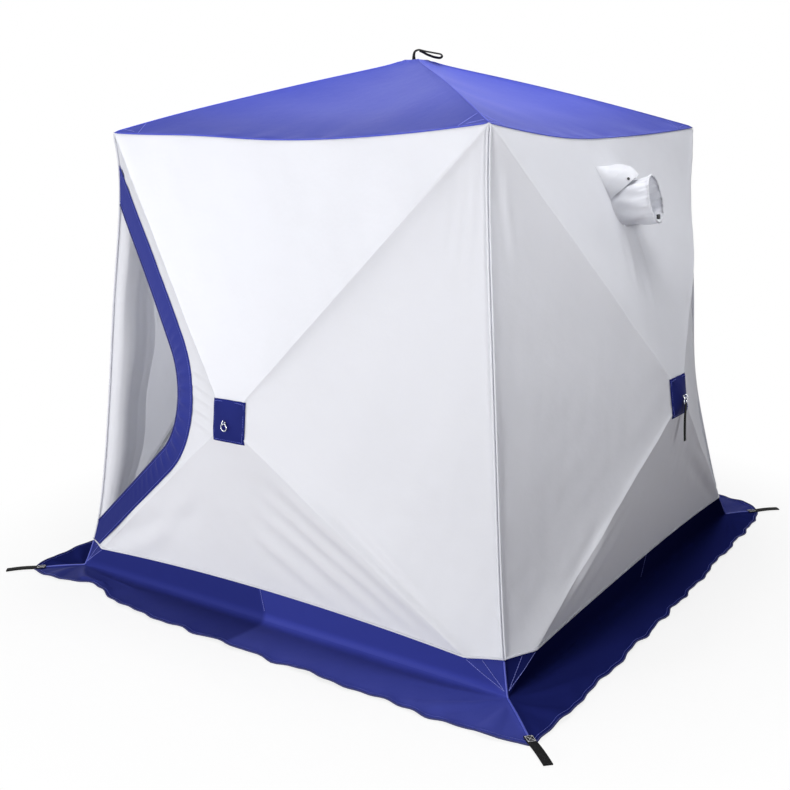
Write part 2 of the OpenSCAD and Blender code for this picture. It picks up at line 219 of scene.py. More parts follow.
def settled(points: np.ndarray) -> np.ndarray:
    """Points moved as the real hut stands: the sum of all the small moves.

    Args:
        points: any points of the hut, one a row.

    Returns:
        The moved points.
    """
    moved = points.copy()
    for one in SETTLES:
        fade = np.exp(-np.sum(((points - np.array(one.centre)) / np.array(one.reach)) ** 2, axis=1))
        moved += fade[:, None] * np.array(one.move)
    return moved


@dataclass
class Shape:
    """Points and faces of a piece, with each point's place on the flat cloth and its painted shade, 1 where
    none is painted.
    """

    points: np.ndarray
    faces: list[np.ndarray]
    flat: np.ndarray
    shade: np.ndarray

    @classmethod
    def grid(cls, points: np.ndarray, flat: np.ndarray, wrap: bool = False, wrap_rows: bool = False,
             keep: np.ndarray | None = None) -> "Shape":
        """A surface from a grid of points.

        Args:
            points: rows by columns by 3.
            flat: rows by columns by 2, in metres.
            wrap: joins the last column to the first.
            wrap_rows: joins the last row to the first.
            keep: which faces stay, rows by columns; all if left out.

        Returns:
            The surface as quads.
        """
        rows, cols = points.shape[:2]
        index = np.arange(rows * cols).reshape(rows, cols)
        if wrap:
            index = np.concatenate([index, index[:, :1]], 1)
        if wrap_rows:
            index = np.concatenate([index, index[:1]], 0)
        quads = np.stack([index[:-1, :-1], index[:-1, 1:], index[1:, 1:], index[1:, :-1]], -1)
        quads = quads.reshape(-1, 4) if keep is None else quads[keep]
        return cls(points.reshape(-1, 3), [quads], flat.reshape(-1, 2), np.ones(rows * cols))

    @classmethod
    def tube(cls, path: np.ndarray, radius: np.ndarray | float, sides: int = 6, loop: bool = False,
             across: tuple[float, float, float] = (0.31, 0.22, 0.92)) -> "Shape":
        """A round bar along a path.

        Args:
            path: points of the middle line.
            radius: its radius, at each point or all along.
            sides: corners of its section.
            loop: joins the end to the start.
            across: a direction that the path never runs along.

        Returns:
            The bar, with both ends drawn to a point unless it is a loop.
        """
        ahead = unit(np.roll(path, -1, 0) - np.roll(path, 1, 0) if loop else np.gradient(path, axis=0))
        side = unit(np.cross(ahead, np.array(across)))
        up = np.cross(ahead, side)
        size = np.broadcast_to(np.asarray(radius, float), len(path)).copy()
        if not loop:
            size[[0, -1]] *= 0.05
        angle = np.linspace(0, 2 * np.pi, sides, endpoint=False)
        ring = np.cos(angle)[None, :, None] * side[:, None] + np.sin(angle)[None, :, None] * up[:, None]
        points = path[:, None] + ring * size[:, None, None]
        flat = np.stack(np.broadcast_arrays(run_along(path)[:, None], angle[None] * size.max()), -1)
        shape = cls.grid(points, flat, wrap=True, wrap_rows=loop)
        if not loop:
            count = len(path) * sides
            shape.faces += [np.arange(sides)[None], np.arange(count - sides, count)[None, ::-1]]
        return shape.outward()

    @classmethod
    def ribbon(cls, path: np.ndarray, across: np.ndarray, width: float, thick: float) -> "Shape":
        """Flat webbing along a path, with rounded edges.

        Args:
            path: points of the middle line.
            across: unit directions of its width, one a point.
            width: its width.
            thick: its thickness.

        Returns:
            The closed webbing.
        """
        up = unit(np.cross(unit(np.gradient(path, axis=0)), across))
        half, low = width / 2, thick / 2
        out = np.array([-1, -0.96, -0.5, 0, 0.5, 0.96, 1, 0.96, 0.5, 0, -0.5, -0.96]) * half
        rise = np.array([0, 1, 1, 1, 1, 1, 0, -1, -1, -1, -1, -1]) * low
        points = path[:, None] + out[None, :, None] * across[:, None] + rise[None, :, None] * up[:, None]
        flat = np.stack(np.broadcast_arrays(run_along(path)[:, None], out[None]), -1)
        shape = cls.grid(points, flat, wrap=True)
        count = points.shape[0] * points.shape[1]
        shape.faces += [np.arange(len(out))[None], np.arange(count - len(out), count)[None, ::-1]]
        return shape.outward()

    @classmethod
    def joined(cls, *shapes: "Shape") -> "Shape":
        """Several shapes as one.

        Args:
            shapes: the shapes, each kept as it is.

        Returns:
            One shape that holds them all.
        """
        starts = np.cumsum([0] + [len(s.points) for s in shapes])
        faces = [f + start for s, start in zip(shapes, starts) for f in s.faces]
        return cls(np.concatenate([s.points for s in shapes]), faces,
                   np.concatenate([s.flat for s in shapes]), np.concatenate([s.shade for s in shapes]))

    def normals(self) -> np.ndarray:
        """Each face's normal: the cross product of its diagonals.

        Returns:
            Normals, one a face, each as long as twice a quad's area.
        """
        parts = []
        for f in self.faces:
            p = self.points[f]
            parts.append(np.cross(p[:, 2] - p[:, 0], p[:, -1] - p[:, 1]))
        return np.concatenate(parts)

    def flipped(self) -> "Shape":
        """The same shape with its faces turned over."""
        return Shape(self.points, [f[:, ::-1] for f in self.faces], self.flat, self.shade)

    def outward(self) -> "Shape":
        """The closed shape with its faces turned out, by the sign of its volume.

        Returns:
            The shape, turned over if it was inside out.
        """
        volume = 0.0
        for f in self.faces:
            p = self.points[f] - self.points.mean(0)
            for k in range(1, f.shape[1] - 1):
                volume += np.einsum("ij,ij->", p[:, 0], np.cross(p[:, k], p[:, k + 1]))
        return self if volume > 0 else self.flipped()

    def facing(self, way: tuple[float, float, float]) -> "Shape":
        """The sheet with its faces turned to one way.

        Args:
            way: a direction that most of its faces look along.

        Returns:
            The sheet, turned over if it looked the other way.
        """
        return self if self.normals().sum(0) @ np.array(way) > 0 else self.flipped()

    def turned(self, side: Side) -> "Shape":
        """The shape, moved from the front side to another."""
        return Shape(side.turn(self.points), self.faces, self.flat, self.shade)

    def area(self) -> float:
        """The area of its faces in square metres."""
        return float(np.linalg.norm(self.normals(), axis=1).sum() / 2)

    def build(self, name: str, finish: "Finish", thickness: float = 0.0) -> bpy.types.Object:
        """The shape as an object that rides on the hut.

        Args:
            name: the object's name.
            finish: what it is made of.
            thickness: how thick the sheet is, inwards from its faces; 0 for a closed shape.

        Returns:
            The object, at the origin.
        """
        mesh = bpy.data.meshes.new(name)
        mesh.from_pydata(settled(self.points).tolist(), [], [f for part in self.faces for f in part.tolist()])
        corner = np.zeros(len(mesh.loops), np.int32)
        mesh.loops.foreach_get("vertex_index", corner)
        mesh.uv_layers.new(name=FLAT_MAP).data.foreach_set("uv", self.flat[corner].astype(np.float32).ravel())
        shades = mesh.attributes.new("shade", "FLOAT", "POINT")
        shades.data.foreach_set("value", self.shade.astype(np.float32))
        mesh.polygons.foreach_set("use_smooth", np.ones(len(mesh.polygons), bool))
        mesh.materials.append(finish.material())
        thing = bpy.data.objects.new(name, mesh)
        bpy.context.scene.collection.objects.link(thing)
        if thickness:
            solid = thing.modifiers.new("thickness", "SOLIDIFY")
            solid.thickness = thickness
            solid.offset = -1
        shading = thing.modifiers.new("shading", "WEIGHTED_NORMAL")
        shading.weight = 50
        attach(thing, "root")
        LOG.info("%s: %d points", name, len(self.points))
        return thing


def add(tree: bpy.types.NodeTree, kind: str, inputs: dict | None = None,
        **settings: object) -> bpy.types.Node:
    """A node with its settings, constants and links.

    Args:
        tree: where it goes.
        kind: its type.
        inputs: by socket name or number, a constant or the socket to link.
        settings: its other properties.

    Returns:
        The node.
    """
    node = tree.nodes.new(kind)
    for key, value in settings.items():
        setattr(node, key, value)
    for key, value in (inputs or {}).items():
        if isinstance(value, bpy.types.NodeSocket):
            tree.links.new(value, node.inputs[key])
        else:
            node.inputs[key].default_value = value
    return node


@dataclass(frozen=True)
class Finish:
    """A real material: its name, the record's slot and its sRGB colour."""

    name: str
    slot: Slot
    colour: str

    def material(self) -> bpy.types.Material:
        """The material, made once.

        Returns:
            The material of this name.
        """
        found = bpy.data.materials.get(self.name)
        if found:
            return found
        made = bpy.data.materials.new(self.name)
        made.use_nodes = True
        made.node_tree.nodes.clear()
        surface = self.surface(made.node_tree)
        add(made.node_tree, "ShaderNodeOutputMaterial", {"Surface": surface})
        return made

    def surface(self, tree: bpy.types.NodeTree) -> bpy.types.NodeSocket:
        """The shader that shows the material; each kind has its own."""
        raise NotImplementedError

    def dress(self, *nodes: str) -> None:
        """Gives the material to CAD nodes that are shown.

        Args:
            nodes: the nodes' names.
        """
        for node in nodes:
            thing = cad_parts[node]
            thing.data.materials.clear()
            thing.data.materials.append(self.material())
            LOG.info("%s: %s", node, self.name)


@dataclass(frozen=True)
class CoatedCloth(Finish):
    """Coated plain-weave polyester: soft sheen, a fine weave, small creases and a little light from behind.

    weave is the pitch in metres, drawn coarser than the real 0.5 mm so that it shows; crease is the size of
    the small creases and depth their height; passes is the share of light that comes through; dark is the
    painted-shade colour, used where the shade attribute is 0.
    """

    dark: str = "#808080"
    weave: float = 0.0035
    crease: float = 0.07
    depth: float = 0.0018
    rough: float = 0.5
    shine: float = 0.4
    sheen: float = 0.0
    passes: float = 0.0

    def surface(self, tree: bpy.types.NodeTree) -> bpy.types.NodeSocket:
        """Weave and creases as bump, painted shade from the attribute, and a share of light from behind.

        Args:
            tree: where the nodes go.

        Returns:
            The cloth's shader.
        """
        place = add(tree, "ShaderNodeUVMap", uv_map=FLAT_MAP).outputs["UV"]
        scale = WAVE_PERIOD / self.weave
        warp = add(tree, "ShaderNodeTexWave", {"Vector": place, "Scale": scale}, bands_direction="X")
        weft = add(tree, "ShaderNodeTexWave", {"Vector": place, "Scale": scale}, bands_direction="Y")
        thread = add(tree, "ShaderNodeMath", {0: warp.outputs["Fac"], 1: weft.outputs["Fac"]},
                     operation="MAXIMUM")
        crumple = add(tree, "ShaderNodeTexNoise", {"Vector": place, "Scale": 1 / self.crease, "Detail": 4.0})
        creased = add(tree, "ShaderNodeBump", {"Height": crumple.outputs["Fac"], "Distance": self.depth})
        woven = add(tree, "ShaderNodeBump", {"Height": thread.outputs[0], "Distance": self.weave * 0.02,
                                             "Normal": creased.outputs["Normal"]})
        # painted shade: the shade attribute mixes the colour towards dark and scales shine and sheen down
        # with it
        shade = add(tree, "ShaderNodeAttribute", attribute_name="shade")
        colour = add(tree, "ShaderNodeMix", {"Factor": shade.outputs["Fac"], "A": linear(self.dark),
                                             "B": linear(self.colour)}, data_type="RGBA")
        colour = colour.outputs["Result"]
        shine = add(tree, "ShaderNodeMath", {0: shade.outputs["Fac"], 1: self.shine}, operation="MULTIPLY")
        sheen = add(tree, "ShaderNodeMath", {0: shade.outputs["Fac"], 1: self.sheen}, operation="MULTIPLY")
        cloth = add(tree, "ShaderNodeBsdfPrincipled", {
            "Base Color": colour, "Roughness": self.rough, "Specular IOR Level": shine.outputs[0],
            "Sheen Weight": sheen.outputs[0], "Sheen Roughness": 0.4, "Normal": woven.outputs["Normal"]})
        if not self.passes:
            return cloth.outputs[0]
        through = add(tree, "ShaderNodeBsdfTranslucent", {"Color": colour,
                                                          "Normal": creased.outputs["Normal"]})
        both = add(tree, "ShaderNodeMixShader", {0: self.passes, 1: cloth.outputs[0], 2: through.outputs[0]})
        return both.outputs[0]


@dataclass(frozen=True)
class Webbing(Finish):
    """Black polypropylene webbing: dull, with ribs along it; rib is their pitch in metres, drawn coarse."""

    rib: float = 0.003

    def surface(self, tree: bpy.types.NodeTree) -> bpy.types.NodeSocket:
        """Ribs as bump and a dull shine.

        Args:
            tree: where the nodes go.

        Returns:
            The webbing's shader.
        """
        place = add(tree, "ShaderNodeUVMap", uv_map=FLAT_MAP).outputs["UV"]
        ribs = add(tree, "ShaderNodeTexWave", {"Vector": place, "Scale": WAVE_PERIOD / self.rib},
                   bands_direction="DIAGONAL")
        bump = add(tree, "ShaderNodeBump", {"Height": ribs.outputs["Fac"], "Distance": 0.0004})
        made = add(tree, "ShaderNodeBsdfPrincipled", {
            "Base Color": linear(self.colour), "Roughness": 0.7, "Specular IOR Level": 0.12,
            "Normal": bump.outputs["Normal"]})
        return made.outputs[0]


@dataclass(frozen=True)
class Grained(Finish):
    """A hard material with a fine grain: moulded plastic, pultruded rod, drawn wire or thread.

    grain is its size in metres, metal is 1 for metals.
    """

    rough: float = 0.4
    metal: float = 0.0
    grain: float = 0.004

    def surface(self, tree: bpy.types.NodeTree) -> bpy.types.NodeSocket:
        """The grain makes the roughness uneven.

        Args:
            tree: where the nodes go.

        Returns:
            The material's shader.
        """
        place = add(tree, "ShaderNodeTexCoord").outputs["Object"]
        grain = add(tree, "ShaderNodeTexNoise", {"Vector": place, "Scale": 1 / self.grain, "Detail": 2.0})
        rough = add(tree, "ShaderNodeMapRange", {"Value": grain.outputs["Fac"], "To Min": self.rough * 0.8,
                                                 "To Max": self.rough * 1.2})
        made = add(tree, "ShaderNodeBsdfPrincipled", {
            "Base Color": linear(self.colour), "Metallic": self.metal, "Roughness": rough.outputs[0]})
        return made.outputs[0]


# bright, soft and even; a good share of the light comes through, so the shaded walls stay pale
WHITE = CoatedCloth("white coated polyester", Slot.WHITE_CLOTH, "#ecedf1", dark="#c9cbd2", shine=0.2,
                    passes=0.40)
# a strong mid blue that greys a little where light grazes it; its dark navy is painted shade, used where the
# shade attribute is low
BLUE = CoatedCloth("blue coated polyester", Slot.BLUE_CLOTH, "#4751b6", dark="#1b215c", shine=0.10,
                   sheen=0.16, crease=0.05, depth=0.0012)
# woven straps: near black and dull, with faint ribs
WEB = Webbing("black polypropylene webbing", Slot.BLACK_WEBBING, "#0c0c0c")
# moulded hubs, cord lock and eyelet: dark grey with a broad dull highlight
PLASTIC = Grained("black moulded nylon", Slot.BLACK_PLASTIC, "#1b1b1d", rough=0.5)
# drawn rods: pale grey and smooth
ROD = Grained("pale pultruded fibreglass", Slot.FIBREGLASS, "#c4c5c6", rough=0.45)
# drawn and bent wire: small bright highlights
STEEL = Grained("bright drawn steel wire", Slot.STEEL_WIRE, "#b9bcc0", rough=0.25, metal=1.0)
# spun sewing threads: thin matt lines, lighter than what they hold
PALE_THREAD = Grained("pale blue polyester thread", Slot.BLUE_CLOTH, "#7b82d4", rough=0.6)
GREY_THREAD = Grained("grey polyester thread", Slot.BLACK_WEBBING, "#c4c4c8", rough=0.6)
# a folded strip sewn into a seam: a lighter rounded line
PIPING = Grained("blue polyester piping", Slot.BLUE_CLOTH, "#4650ac", rough=0.5)
# the hem's edge: a thin navy tube, its near-black colour painted shade under the lifted hem
HEM_EDGE_SHADE = Grained("navy hem edge painted shade", Slot.BLUE_CLOTH, "#141a55", rough=0.7)
# coiled monofilament: a dark line with a slight shine
ZIP_COIL = Grained("dark blue nylon zip coil", Slot.BLUE_CLOTH, "#1c2068", rough=0.4)


@dataclass(frozen=True)
class Fold:
    """A soft fold in a wall, between two places (x, z) on it in metres.

    Its section is a ridge with a shallower valley below it, and it fades out at both ends.
    """

    start: tuple[float, float]
    end: tuple[float, float]
    wide: float
    high: float
    valley: float = 0.6

    def lift(self, x: np.ndarray, z: np.ndarray) -> np.ndarray:
        """How far the fold moves the cloth out at each place.

        Args:
            x: places across the wall.
            z: places up the wall.

        Returns:
            Heights in metres.
        """
        ax, az = self.start
        dx, dz = self.end[0] - ax, self.end[1] - az
        length = math.hypot(dx, dz)
        along = ((x - ax) * dx + (z - az) * dz) / length ** 2
        off = ((x - ax) * -dz + (z - az) * dx) / length
        ends = smooth(along, -0.1, 0.35) * (1 - smooth(along, 0.6, 1.1))
        ridge = np.exp(-(off / self.wide) ** 2)
        valley = np.exp(-((off + 1.7 * self.wide) / self.wide) ** 2)
        return self.high * ends * (ridge - self.valley * valley)


@dataclass
class HutForm:
    """The hut's main lines in metres, as in the CAD part, and the walls' surface between them."""

    base: float = 1.05
    eave: float = 0.87
    eave_z: float = 1.815
    apex_z: float = 2.095
    hub: float = 1.205
    hub_z: float = 0.815
    bow: float = 0.056
    dip: float = 0.040
    pull: float = 0.050
    ground: float = 0.0025
    tip: float = 0.04
    band_z: float = 0.112
    band_rise: float = 0.036
    far_rise: float = 0.030
    angle: np.ndarray = field(init=False)
    reach: np.ndarray = field(init=False)
    depth: np.ndarray = field(init=False)

    def __post_init__(self) -> None:
        """Walks once round a wall's edge and keeps its direction, distance and depth seen from the hub."""
        s = np.linspace(0, 1, 500)
        right = self.corner(s)
        left = right[::-1] * np.array([-1, 1, 1])
        top = self.eave_line(np.linspace(1, -1, 500))
        along = np.linspace(-self.base, self.base, 500)
        foot = np.stack(np.broadcast_arrays(along, -self.base, self.ground), -1)
        edge = np.concatenate([right[:-1], top[:-1], left[:-1], foot[:-1]])
        self.angle = np.unwrap(np.arctan2(edge[:, 2] - self.hub_z, edge[:, 0]))
        self.reach = np.hypot(edge[:, 0], edge[:, 2] - self.hub_z)
        self.depth = edge[:, 1]

    def corner_half(self, z: np.ndarray) -> np.ndarray:
        """Half the hut's width on the drawn-in corner edges: a straight taper less a flat-topped bow.

        Args:
            z: heights.

        Returns:
            Half widths in metres.
        """
        s = (z - self.ground) / (self.eave_z - self.ground)
        drawn = self.bow * math.cos(math.pi / 4) * (1 - np.abs(2 * s - 1) ** 6)
        return self.base + (self.eave - self.base) * s - drawn

    def corner(self, s: np.ndarray) -> np.ndarray:
        """The front right corner edge.

        Args:
            s: places from 0 at the ground to 1 at the eave.

        Returns:
            Points, with x, y, z in the last axis.
        """
        z = self.ground + s * (self.eave_z - self.ground)
        half = self.corner_half(z)
        return np.stack([half, -half, z], -1)

    def eave_line(self, u: np.ndarray) -> np.ndarray:
        """The front eave, u from -1 to 1: it dips and is pulled in at mid side by 1 less u squared."""
        bend = 1 - u * u
        return np.stack([u * self.eave, self.pull * bend - self.eave, self.eave_z - self.dip * bend], -1)

    @property
    def band_bend(self) -> float:
        """How far from the middle the front rods cross the foot band's top."""
        return self.base * (self.hub_z - self.band_z) / (self.hub_z - self.ground)

    def band_top(self, side: Side, x: np.ndarray) -> np.ndarray:
        """The height of the foot band's top: an arch between the rods, and a rise to the far right corner.

        Args:
            side: which side.
            x: places across it.

        Returns:
            Heights in metres.
        """
        uphill = {Side.RIGHT: x, Side.BACK: -x}.get(side, np.full_like(x, -9.0))
        tilt = self.far_rise * smooth(uphill, -0.5, 1.0)
        return self.band_z + tilt + self.band_rise * np.maximum(0, 1 - (x / self.band_bend) ** 2)

    def wall_depth(self, x: np.ndarray, z: np.ndarray) -> np.ndarray:
        """The wall's y at a place: straight from the hub's flat tip to the edge.

        Args:
            x: places across the wall.
            z: places up the wall.

        Returns:
            The y of each place.
        """
        angle = np.arctan2(z - self.hub_z, x)
        angle = np.where(angle < self.angle[0], angle + 2 * np.pi, angle)
        share = np.hypot(x, z - self.hub_z) / np.interp(angle, self.angle, self.reach, period=2 * np.pi)
        fall = np.interp(angle, self.angle, self.depth, period=2 * np.pi) + self.hub
        mean = self.tip * (self.hub - self.base)
        rim = np.clip(share / self.tip, 0, 1)
        return -self.hub + np.where(share > self.tip, share * fall, mean + (self.tip * fall - mean) * rim)

    def place(self, x: np.ndarray, z: np.ndarray, out: np.ndarray | float = 0.0) -> np.ndarray:
        """Points on or off the front wall.

        Args:
            x: places across the wall.
            z: places up the wall.
            out: how far out from its surface, along the normal.

        Returns:
            Points, with x, y, z in the last axis.
        """
        x, z = np.broadcast_arrays(np.asarray(x, float), np.asarray(z, float))
        step = 0.004
        lean_x = (self.wall_depth(x + step, z) - self.wall_depth(x - step, z)) / (2 * step)
        lean_z = (self.wall_depth(x, z + step) - self.wall_depth(x, z - step)) / (2 * step)
        normal = unit(np.stack([lean_x, -np.ones_like(x), lean_z], -1))
        points = np.stack([x, self.wall_depth(x, z), z], -1)
        return points + normal * np.asarray(out, float)[..., None]

    def rod_gap(self, x: np.ndarray, z: np.ndarray) -> tuple[np.ndarray, np.ndarray]:
        """How far a place on the wall is from the nearest rod, and how far along that rod it is.

        Args:
            x: places across the wall.
            z: places up the wall.

        Returns:
            The distance in metres and the share of the rod's length.
        """
        gaps, shares = [], []
        for end in ((self.eave, self.eave_z), (self.base, self.ground)):
            ex, ez = end[0], end[1] - self.hub_z
            length = math.hypot(ex, ez)
            share = (np.abs(x) * ex + (z - self.hub_z) * ez) / length ** 2
            gaps.append(np.where(share > 0, np.abs(-np.abs(x) * ez + (z - self.hub_z) * ex) / length, 9.0))
            shares.append(share)
        near = gaps[0] < gaps[1]
        return np.where(near, gaps[0], gaps[1]), np.where(near, shares[0], shares[1])

    def roof(self, u: np.ndarray, v: np.ndarray) -> np.ndarray:
        """The front roof panel: from the flat top to the eave, with a flare at the hub and hips bowed up.

        Args:
            u: places along the eave from -1 to 1.
            v: share of the way from the roof's middle to the eave.

        Returns:
            Points, with x, y, z in the last axis.
        """
        u, v = np.broadcast_arrays(np.asarray(u, float), np.asarray(v, float))
        edge = self.eave_line(u)
        down = np.clip((v - self.tip) / (1 - self.tip), 0, 1)
        far = np.maximum(v - self.tip, 0) * self.eave
        flare = 0.012 * (1 - np.exp(-far / 0.03)) * (1 - v) ** 1.5
        sprung = 0.011 * np.sin(np.pi * v) * u ** 2
        z = self.apex_z + (edge[..., 2] - self.apex_z) * down - flare + sprung
        return np.stack([edge[..., 0] * v, edge[..., 1] * v, z], -1)


def stitches(path: np.ndarray, radius: float = 0.0011, pitch: float = 0.009) -> Shape:
    """A row of stitches, drawn coarser than real ones so that it shows.

    Its radius swells and shrinks along the path as a sine wave.

    Args:
        path: where the seam runs.
        radius: the thread's radius.
        pitch: a stitch's length.

    Returns:
        One bar along the path.
    """
    run = run_along(path)
    count = max(4, int(run[-1] / pitch) * 4)
    at = np.linspace(0, run[-1], count)
    line = np.stack([np.interp(at, run, path[:, k]) for k in range(3)], -1)
    swell = 0.35 + 0.65 * np.abs(np.sin(np.pi * at / pitch + 0.4))
    return Shape.tube(line, radius * swell, sides=5)


@dataclass
class Doorway:
    """The doorway in the left of the front wall: its D shape, the blue flap round it and the rolled door.

    outer and inner are the flap's edges: distance from the upper rod, from the lower rod, and nose radius.
    """

    form: HutForm
    outer: tuple[float, float, float] = (0.076, 0.027, 0.356)
    inner: tuple[float, float, float] = (0.176, 0.124, 0.270)
    roll_low: float = 0.190
    roll_top: float = 1.640

    def outline(self, edge: tuple[float, float, float], count: int = 60) -> np.ndarray:
        """A D shape: two lines beside the rods and an arc at the nose that touches both.

        Args:
            edge: the lines' distances from the upper and lower rods, and the arc's radius.
            count: points on each of its three parts.

        Returns:
            Points (x, z) from the upper end on the corner edge round the nose to the lower end.
        """
        form = self.form
        upper, lower, radius = edge
        up = np.array([-form.eave, form.eave_z - form.hub_z])
        down = np.array([-form.base, form.ground - form.hub_z])
        up, down = unit(up), unit(down)
        sine = abs(up[0] * down[1] - up[1] * down[0])
        centre = np.array([0, form.hub_z]) + (up * (lower + radius) + down * (upper + radius)) / sine
        lines, ends = [], []
        for way, inward in ((up, np.array([-up[1], up[0]])), (down, np.array([down[1], -down[0]]))):
            start = centre - inward * radius
            t = np.linspace(0, 1.4, 1400)
            line = start + t[:, None] * way
            inside = line[:, 0] > -form.corner_half(line[:, 1])
            lines.append(start + np.linspace(0, t[inside][-1], count)[:, None] * way)
            ends.append(math.atan2(-inward[1], -inward[0]))
        angle = np.linspace(ends[0], ends[1], count)[1:-1]
        arc = centre + radius * np.stack([np.cos(angle), np.sin(angle)], -1)
        return np.concatenate([lines[0][::-1], arc, lines[1]])

    def build(self) -> None:
        """The flap, its zip coil and stitches, and the rolled door."""
        self.build_flap()
        self.build_roll()

    def build_flap(self) -> None:
        """The flap between two D shapes: gathered into small waves round the nose, along its inner edge."""
        form = self.form
        count, rows = 130, 14
        outer, inner = self.outline(self.outer, count), self.outline(self.inner, count)
        flap = self.inner[0] - self.outer[0]
        share = np.linspace(-0.04, 1.03, rows)[:, None]
        x = outer[None, :, 0] * (1 - share) + inner[None, :, 0] * share
        z = outer[None, :, 1] * (1 - share) + inner[None, :, 1] * share
        run = run_along(inner)
        total = run[-1]
        near_nose = np.exp(-((run - 0.53 * total) / (0.15 * total)) ** 2)
        gather = 0.5 + 0.5 * np.sin(2 * np.pi * run / 0.047 + 2.2 * np.sin(run * 9))
        inward = np.clip(share, 0, 1)
        out = 0.0030 + 0.0075 * near_nose * gather ** 2 * np.sin(np.pi * inward ** 1.4) ** 1.5
        out = out + 0.002 * np.sin(np.pi * inward) - 0.0010 * smooth(inward, 0.9, 1.02)
        low = form.band_top(Side.FRONT, x) + 0.006
        z = np.where(z < low, low - 0.04 * (low - z), z)
        flat = np.stack(np.broadcast_arrays(run[None], share * flap), -1)
        cloth = Shape.grid(form.place(x, z, out), flat).facing((0, -1, 0))
        # painted shade: the flap is mostly the dark colour and darker towards the bottom
        cloth.shade = (0.12 + 0.24 * smooth(z, 0.35, 0.95)).ravel()
        thing = cloth.build("door_flap_cloth", BLUE, 0.0012)
        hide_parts("door_flap")
        coil = form.place(inner[:, 0], inner[:, 1], 0.0035)
        Shape.tube(coil, 0.0028, sides=6).build("door_zip_coil", ZIP_COIL)
        rows_at = [(outer * (1 - k) + inner * k)[:-12] for k in (0.06, 0.90)]
        seams = [stitches(form.place(r[:, 0], r[:, 1], 0.0042)) for r in rows_at]
        Shape.joined(*seams).build("door_flap_stitches", PIPING)

    def build_roll(self) -> None:
        """The door cloth, gathered along the corner: a round fold from the seam out onto the side wall.

        marks are the fold's section: distances from the corner along the front and along the side wall.
        """
        form = self.form
        marks = np.array([(0.003, -0.001), (0.016, 0.002), (0.034, 0.004), (0.052, 0.014), (0.063, 0.032),
                          (0.066, 0.056), (0.062, 0.090), (0.050, 0.125), (0.034, 0.158), (0.016, 0.190),
                          (0.006, 0.212)])
        at, (front, back) = rounded(marks, 70, 2, 4)
        z = np.linspace(self.roll_low, self.roll_top, 90)[:, None]
        tall = (z - self.roll_low) / (self.roll_top - self.roll_low)
        full = 0.55 + 0.45 * np.sin(np.pi * np.clip(tall, 0.02, 0.98)) ** 0.5
        full = full * (1 + 0.05 * np.sin(14 * z + 1))
        share = at[None] / at[-1]
        pleat = 0.0030 * np.sin(2 * np.pi * (3.2 * share + 0.25 * np.sin(3 * z))) * np.sin(np.pi * share)
        corner = -form.corner_half(z)
        points = np.stack(np.broadcast_arrays(corner + front * full + pleat, corner + back * full, z), -1)
        flat = np.stack(np.broadcast_arrays(at[None], z), -1)
        sheet = Shape.grid(points, flat).facing((0.6, -0.8, 0))
        thing = sheet.build("rolled_door_cloth", WHITE, CLOTH_THICK)
        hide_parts("rolled_door")


